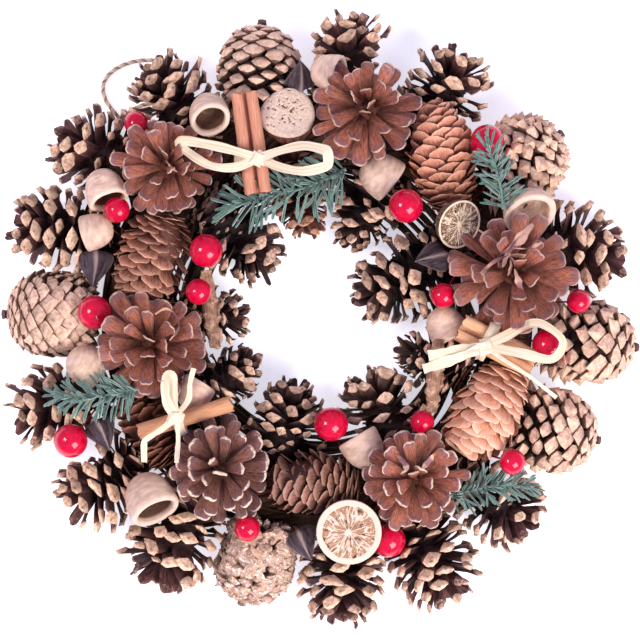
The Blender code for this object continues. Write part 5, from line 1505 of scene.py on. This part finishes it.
# Willow: peeled and unpeeled withies wound into a ring, smooth dull bark with long streaks
def buildRing():
    # a lane is the radius that loose withies keep to, and the share of the sway that they have there
    plan = {
        "radius": 103.0, "halfWidth": 11.6, "halfHeight": 7.4, "withies": 15, "thick": 2.7, "turns": 5,
        "level": 10.0, "loose": 125, "stray": 20,
        "lanes": [(103.0, 1), (88.0, 0.35), (78.0, 0.1), (118.5, 0.1), (70.0, 0.05)],
    }
    bark = {"streakMm": 0.8, "mottleMm": 3.0, "edgeShare": 0.3, "rough": 0.7}
    material = coneWood("willowBark", woodLook("#2e2018", "#6a4a34", "#7c5a40", "#7c5a40", "#9a7652", **bark))
    chunks = []
    sides = 8
    rim, thinRim = circle(sides), circle(7)
    a = np.linspace(0, math.tau, 145)[:-1]
    i, j = np.meshgrid(np.arange(len(a)), np.arange(sides), indexing="ij")
    nextRing, nextSide = (i + 1) % len(a), (j + 1) % sides
    corners = [i * sides + j, i * sides + nextSide, nextRing * sides + nextSide, nextRing * sides + j]
    quads = np.stack(corners, -1).reshape(-1, 4)
    for k in range(plan["withies"]):
        rng = np.random.default_rng(700 + k)
        turn = plan["turns"] * a + math.tau * k / plan["withies"]
        away = 1 - 0.10 * (1 + np.sin(3 * a + k)) / 2
        out = plan["radius"] + plan["halfWidth"] * away * np.cos(turn)
        up = plan["level"] + plan["halfHeight"] * away * np.sin(turn)
        line = np.stack([out * np.cos(a), out * np.sin(a), up], 1)
        tangent = unit(np.roll(line, -1, 0) - np.roll(line, 1, 0))
        across = unit(np.cross([0, 0, 1.0], tangent))
        over = np.cross(tangent, across)
        size = plan["thick"] * (0.9 + 0.1 * np.sin(2 * a + 5 * k))
        around = across[:, None] * rim[:, :1] + over[:, None] * rim[:, 1:]
        ring = line[:, None] + size[:, None, None] * around
        grain = np.stack(np.broadcast_arrays(rim[:, 0] * 3 + 20 * k, rim[:, 1] * 3, (a * 60)[:, None]), -1)
        withy = {"points": ring.reshape(-1, 3), "faces": [quads], "grain": grain.reshape(-1, 3)}
        chunks.append({**withy, "tone": rng.random()})
    for k in range(plan["loose"]):
        rng = np.random.default_rng(760 + k)
        first, span = 137.5 * k, rng.uniform(60, 100)
        t = np.linspace(0, 1, 12)
        sway = plan["stray"] * np.sin(math.pi * t) * (0.5 + 0.5 * np.sin(5 * t + k)) * (-1 if k % 4 else 0.6)
        lane, swayShare = plan["lanes"][k % 5]
        out = lane + rng.uniform(-5, 4) + sway * swayShare
        up = 9 + 3 * np.sin(4 * t + k)
        angle = np.radians(first + span * t)
        line = smoothLine(np.stack([out * np.cos(angle), out * np.sin(angle), up], 1), 4.0)
        run = np.arange(len(line))[:, None] * 4.0
        grain = np.stack(np.broadcast_arrays(thinRim[:, 0] * 3 + 20 * k, 0.0, run), -1)
        rings = alongLine(line, thinRim * rng.uniform(0.9, 1.5))
        # loose withies lie in the gaps between the cones, and their low tone paints them darker: painted shade
        # of the gaps
        chunks.append(loft(rings, grain=grain, tone=rng.uniform(-1.2, 0.2)))
    makePiece("willowRing", chunks, [material], ["base_ring"], sharp=180)
    print("ring")


buildRing()


# The studio: a white light table and a white room, a soft box at the lower right and a smaller one at the left
def buildStudio():
    # lengths here are metres; a lamp has its name, place, width and power in watts
    plan = {
        "room": 0.56, "roomTint": "#d6ceff", "table": ("#f4f5fa", "#ffffff"), "glow": 0.62,
        "glowTint": "#f3f4ff", "tableHalf": 3, "tableLevel": -0.0004, "lampTint": "#fff6f4",
        "lamps": [("keyBox", (0.75, -0.85, 1.25), 1.0, 31.0), ("fillBox", (-0.95, 0.15, 1.2), 0.42, 10.0)],
    }
    world = bpy.data.worlds.new("whiteRoom")
    world.use_nodes = True
    light = {"Color": hexColour(plan["roomTint"]), "Strength": plan["room"]}
    addNode(world.node_tree, world.node_tree.nodes["Background"], light)
    bpy.context.scene.world = world
    table, tree, shader = newMaterial("whiteTable")  # clean paper-white plastic, lit from below
    clean = addNode(tree, "ShaderNodeTexNoise", {"Scale": 40.0})
    stops = [(at, hexColour(colour)) for at, colour in enumerate(plan["table"])]
    white = addNode(tree, "ShaderNodeValToRGB", {"stops": stops}, {"Fac": (clean, "Fac")})
    lit = {"Roughness": 0.9, "Emission Color": hexColour(plan["glowTint"]), "Emission Strength": plan["glow"]}
    addNode(tree, shader, lit, {"Base Color": (white, "Color")})
    mesh = bpy.data.meshes.new("table")
    half, level = plan["tableHalf"], plan["tableLevel"]
    corners = [(-half, -half, level), (half, -half, level), (half, half, level), (-half, half, level)]
    mesh.from_pydata(corners, [], [(0, 1, 2, 3)])
    mesh.materials.append(table)
    floor = bpy.data.objects.new("table", mesh)
    bpy.context.scene.collection.objects.link(floor)
    floor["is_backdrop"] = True
    for name, place, size, power in plan["lamps"]:
        lamp = bpy.data.objects.new(name, bpy.data.lights.new(name, "AREA"))
        lamp.data.energy, lamp.data.size = power, size
        lamp.data.color = hexColour(plan["lampTint"])[:3]
        lamp.location = place
        lamp.rotation_euler = (-Vector(place)).to_track_quat("-Z", "Y").to_euler()
        bpy.context.scene.collection.objects.link(lamp)
    bpy.context.scene.view_settings.view_transform = "Standard"


buildStudio()

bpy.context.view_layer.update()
triangles = [len(o.data.loops) - 2 * len(o.data.polygons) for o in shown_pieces() if o.type == "MESH"]
print("triangles", sum(triangles), "the largest piece", max(triangles))
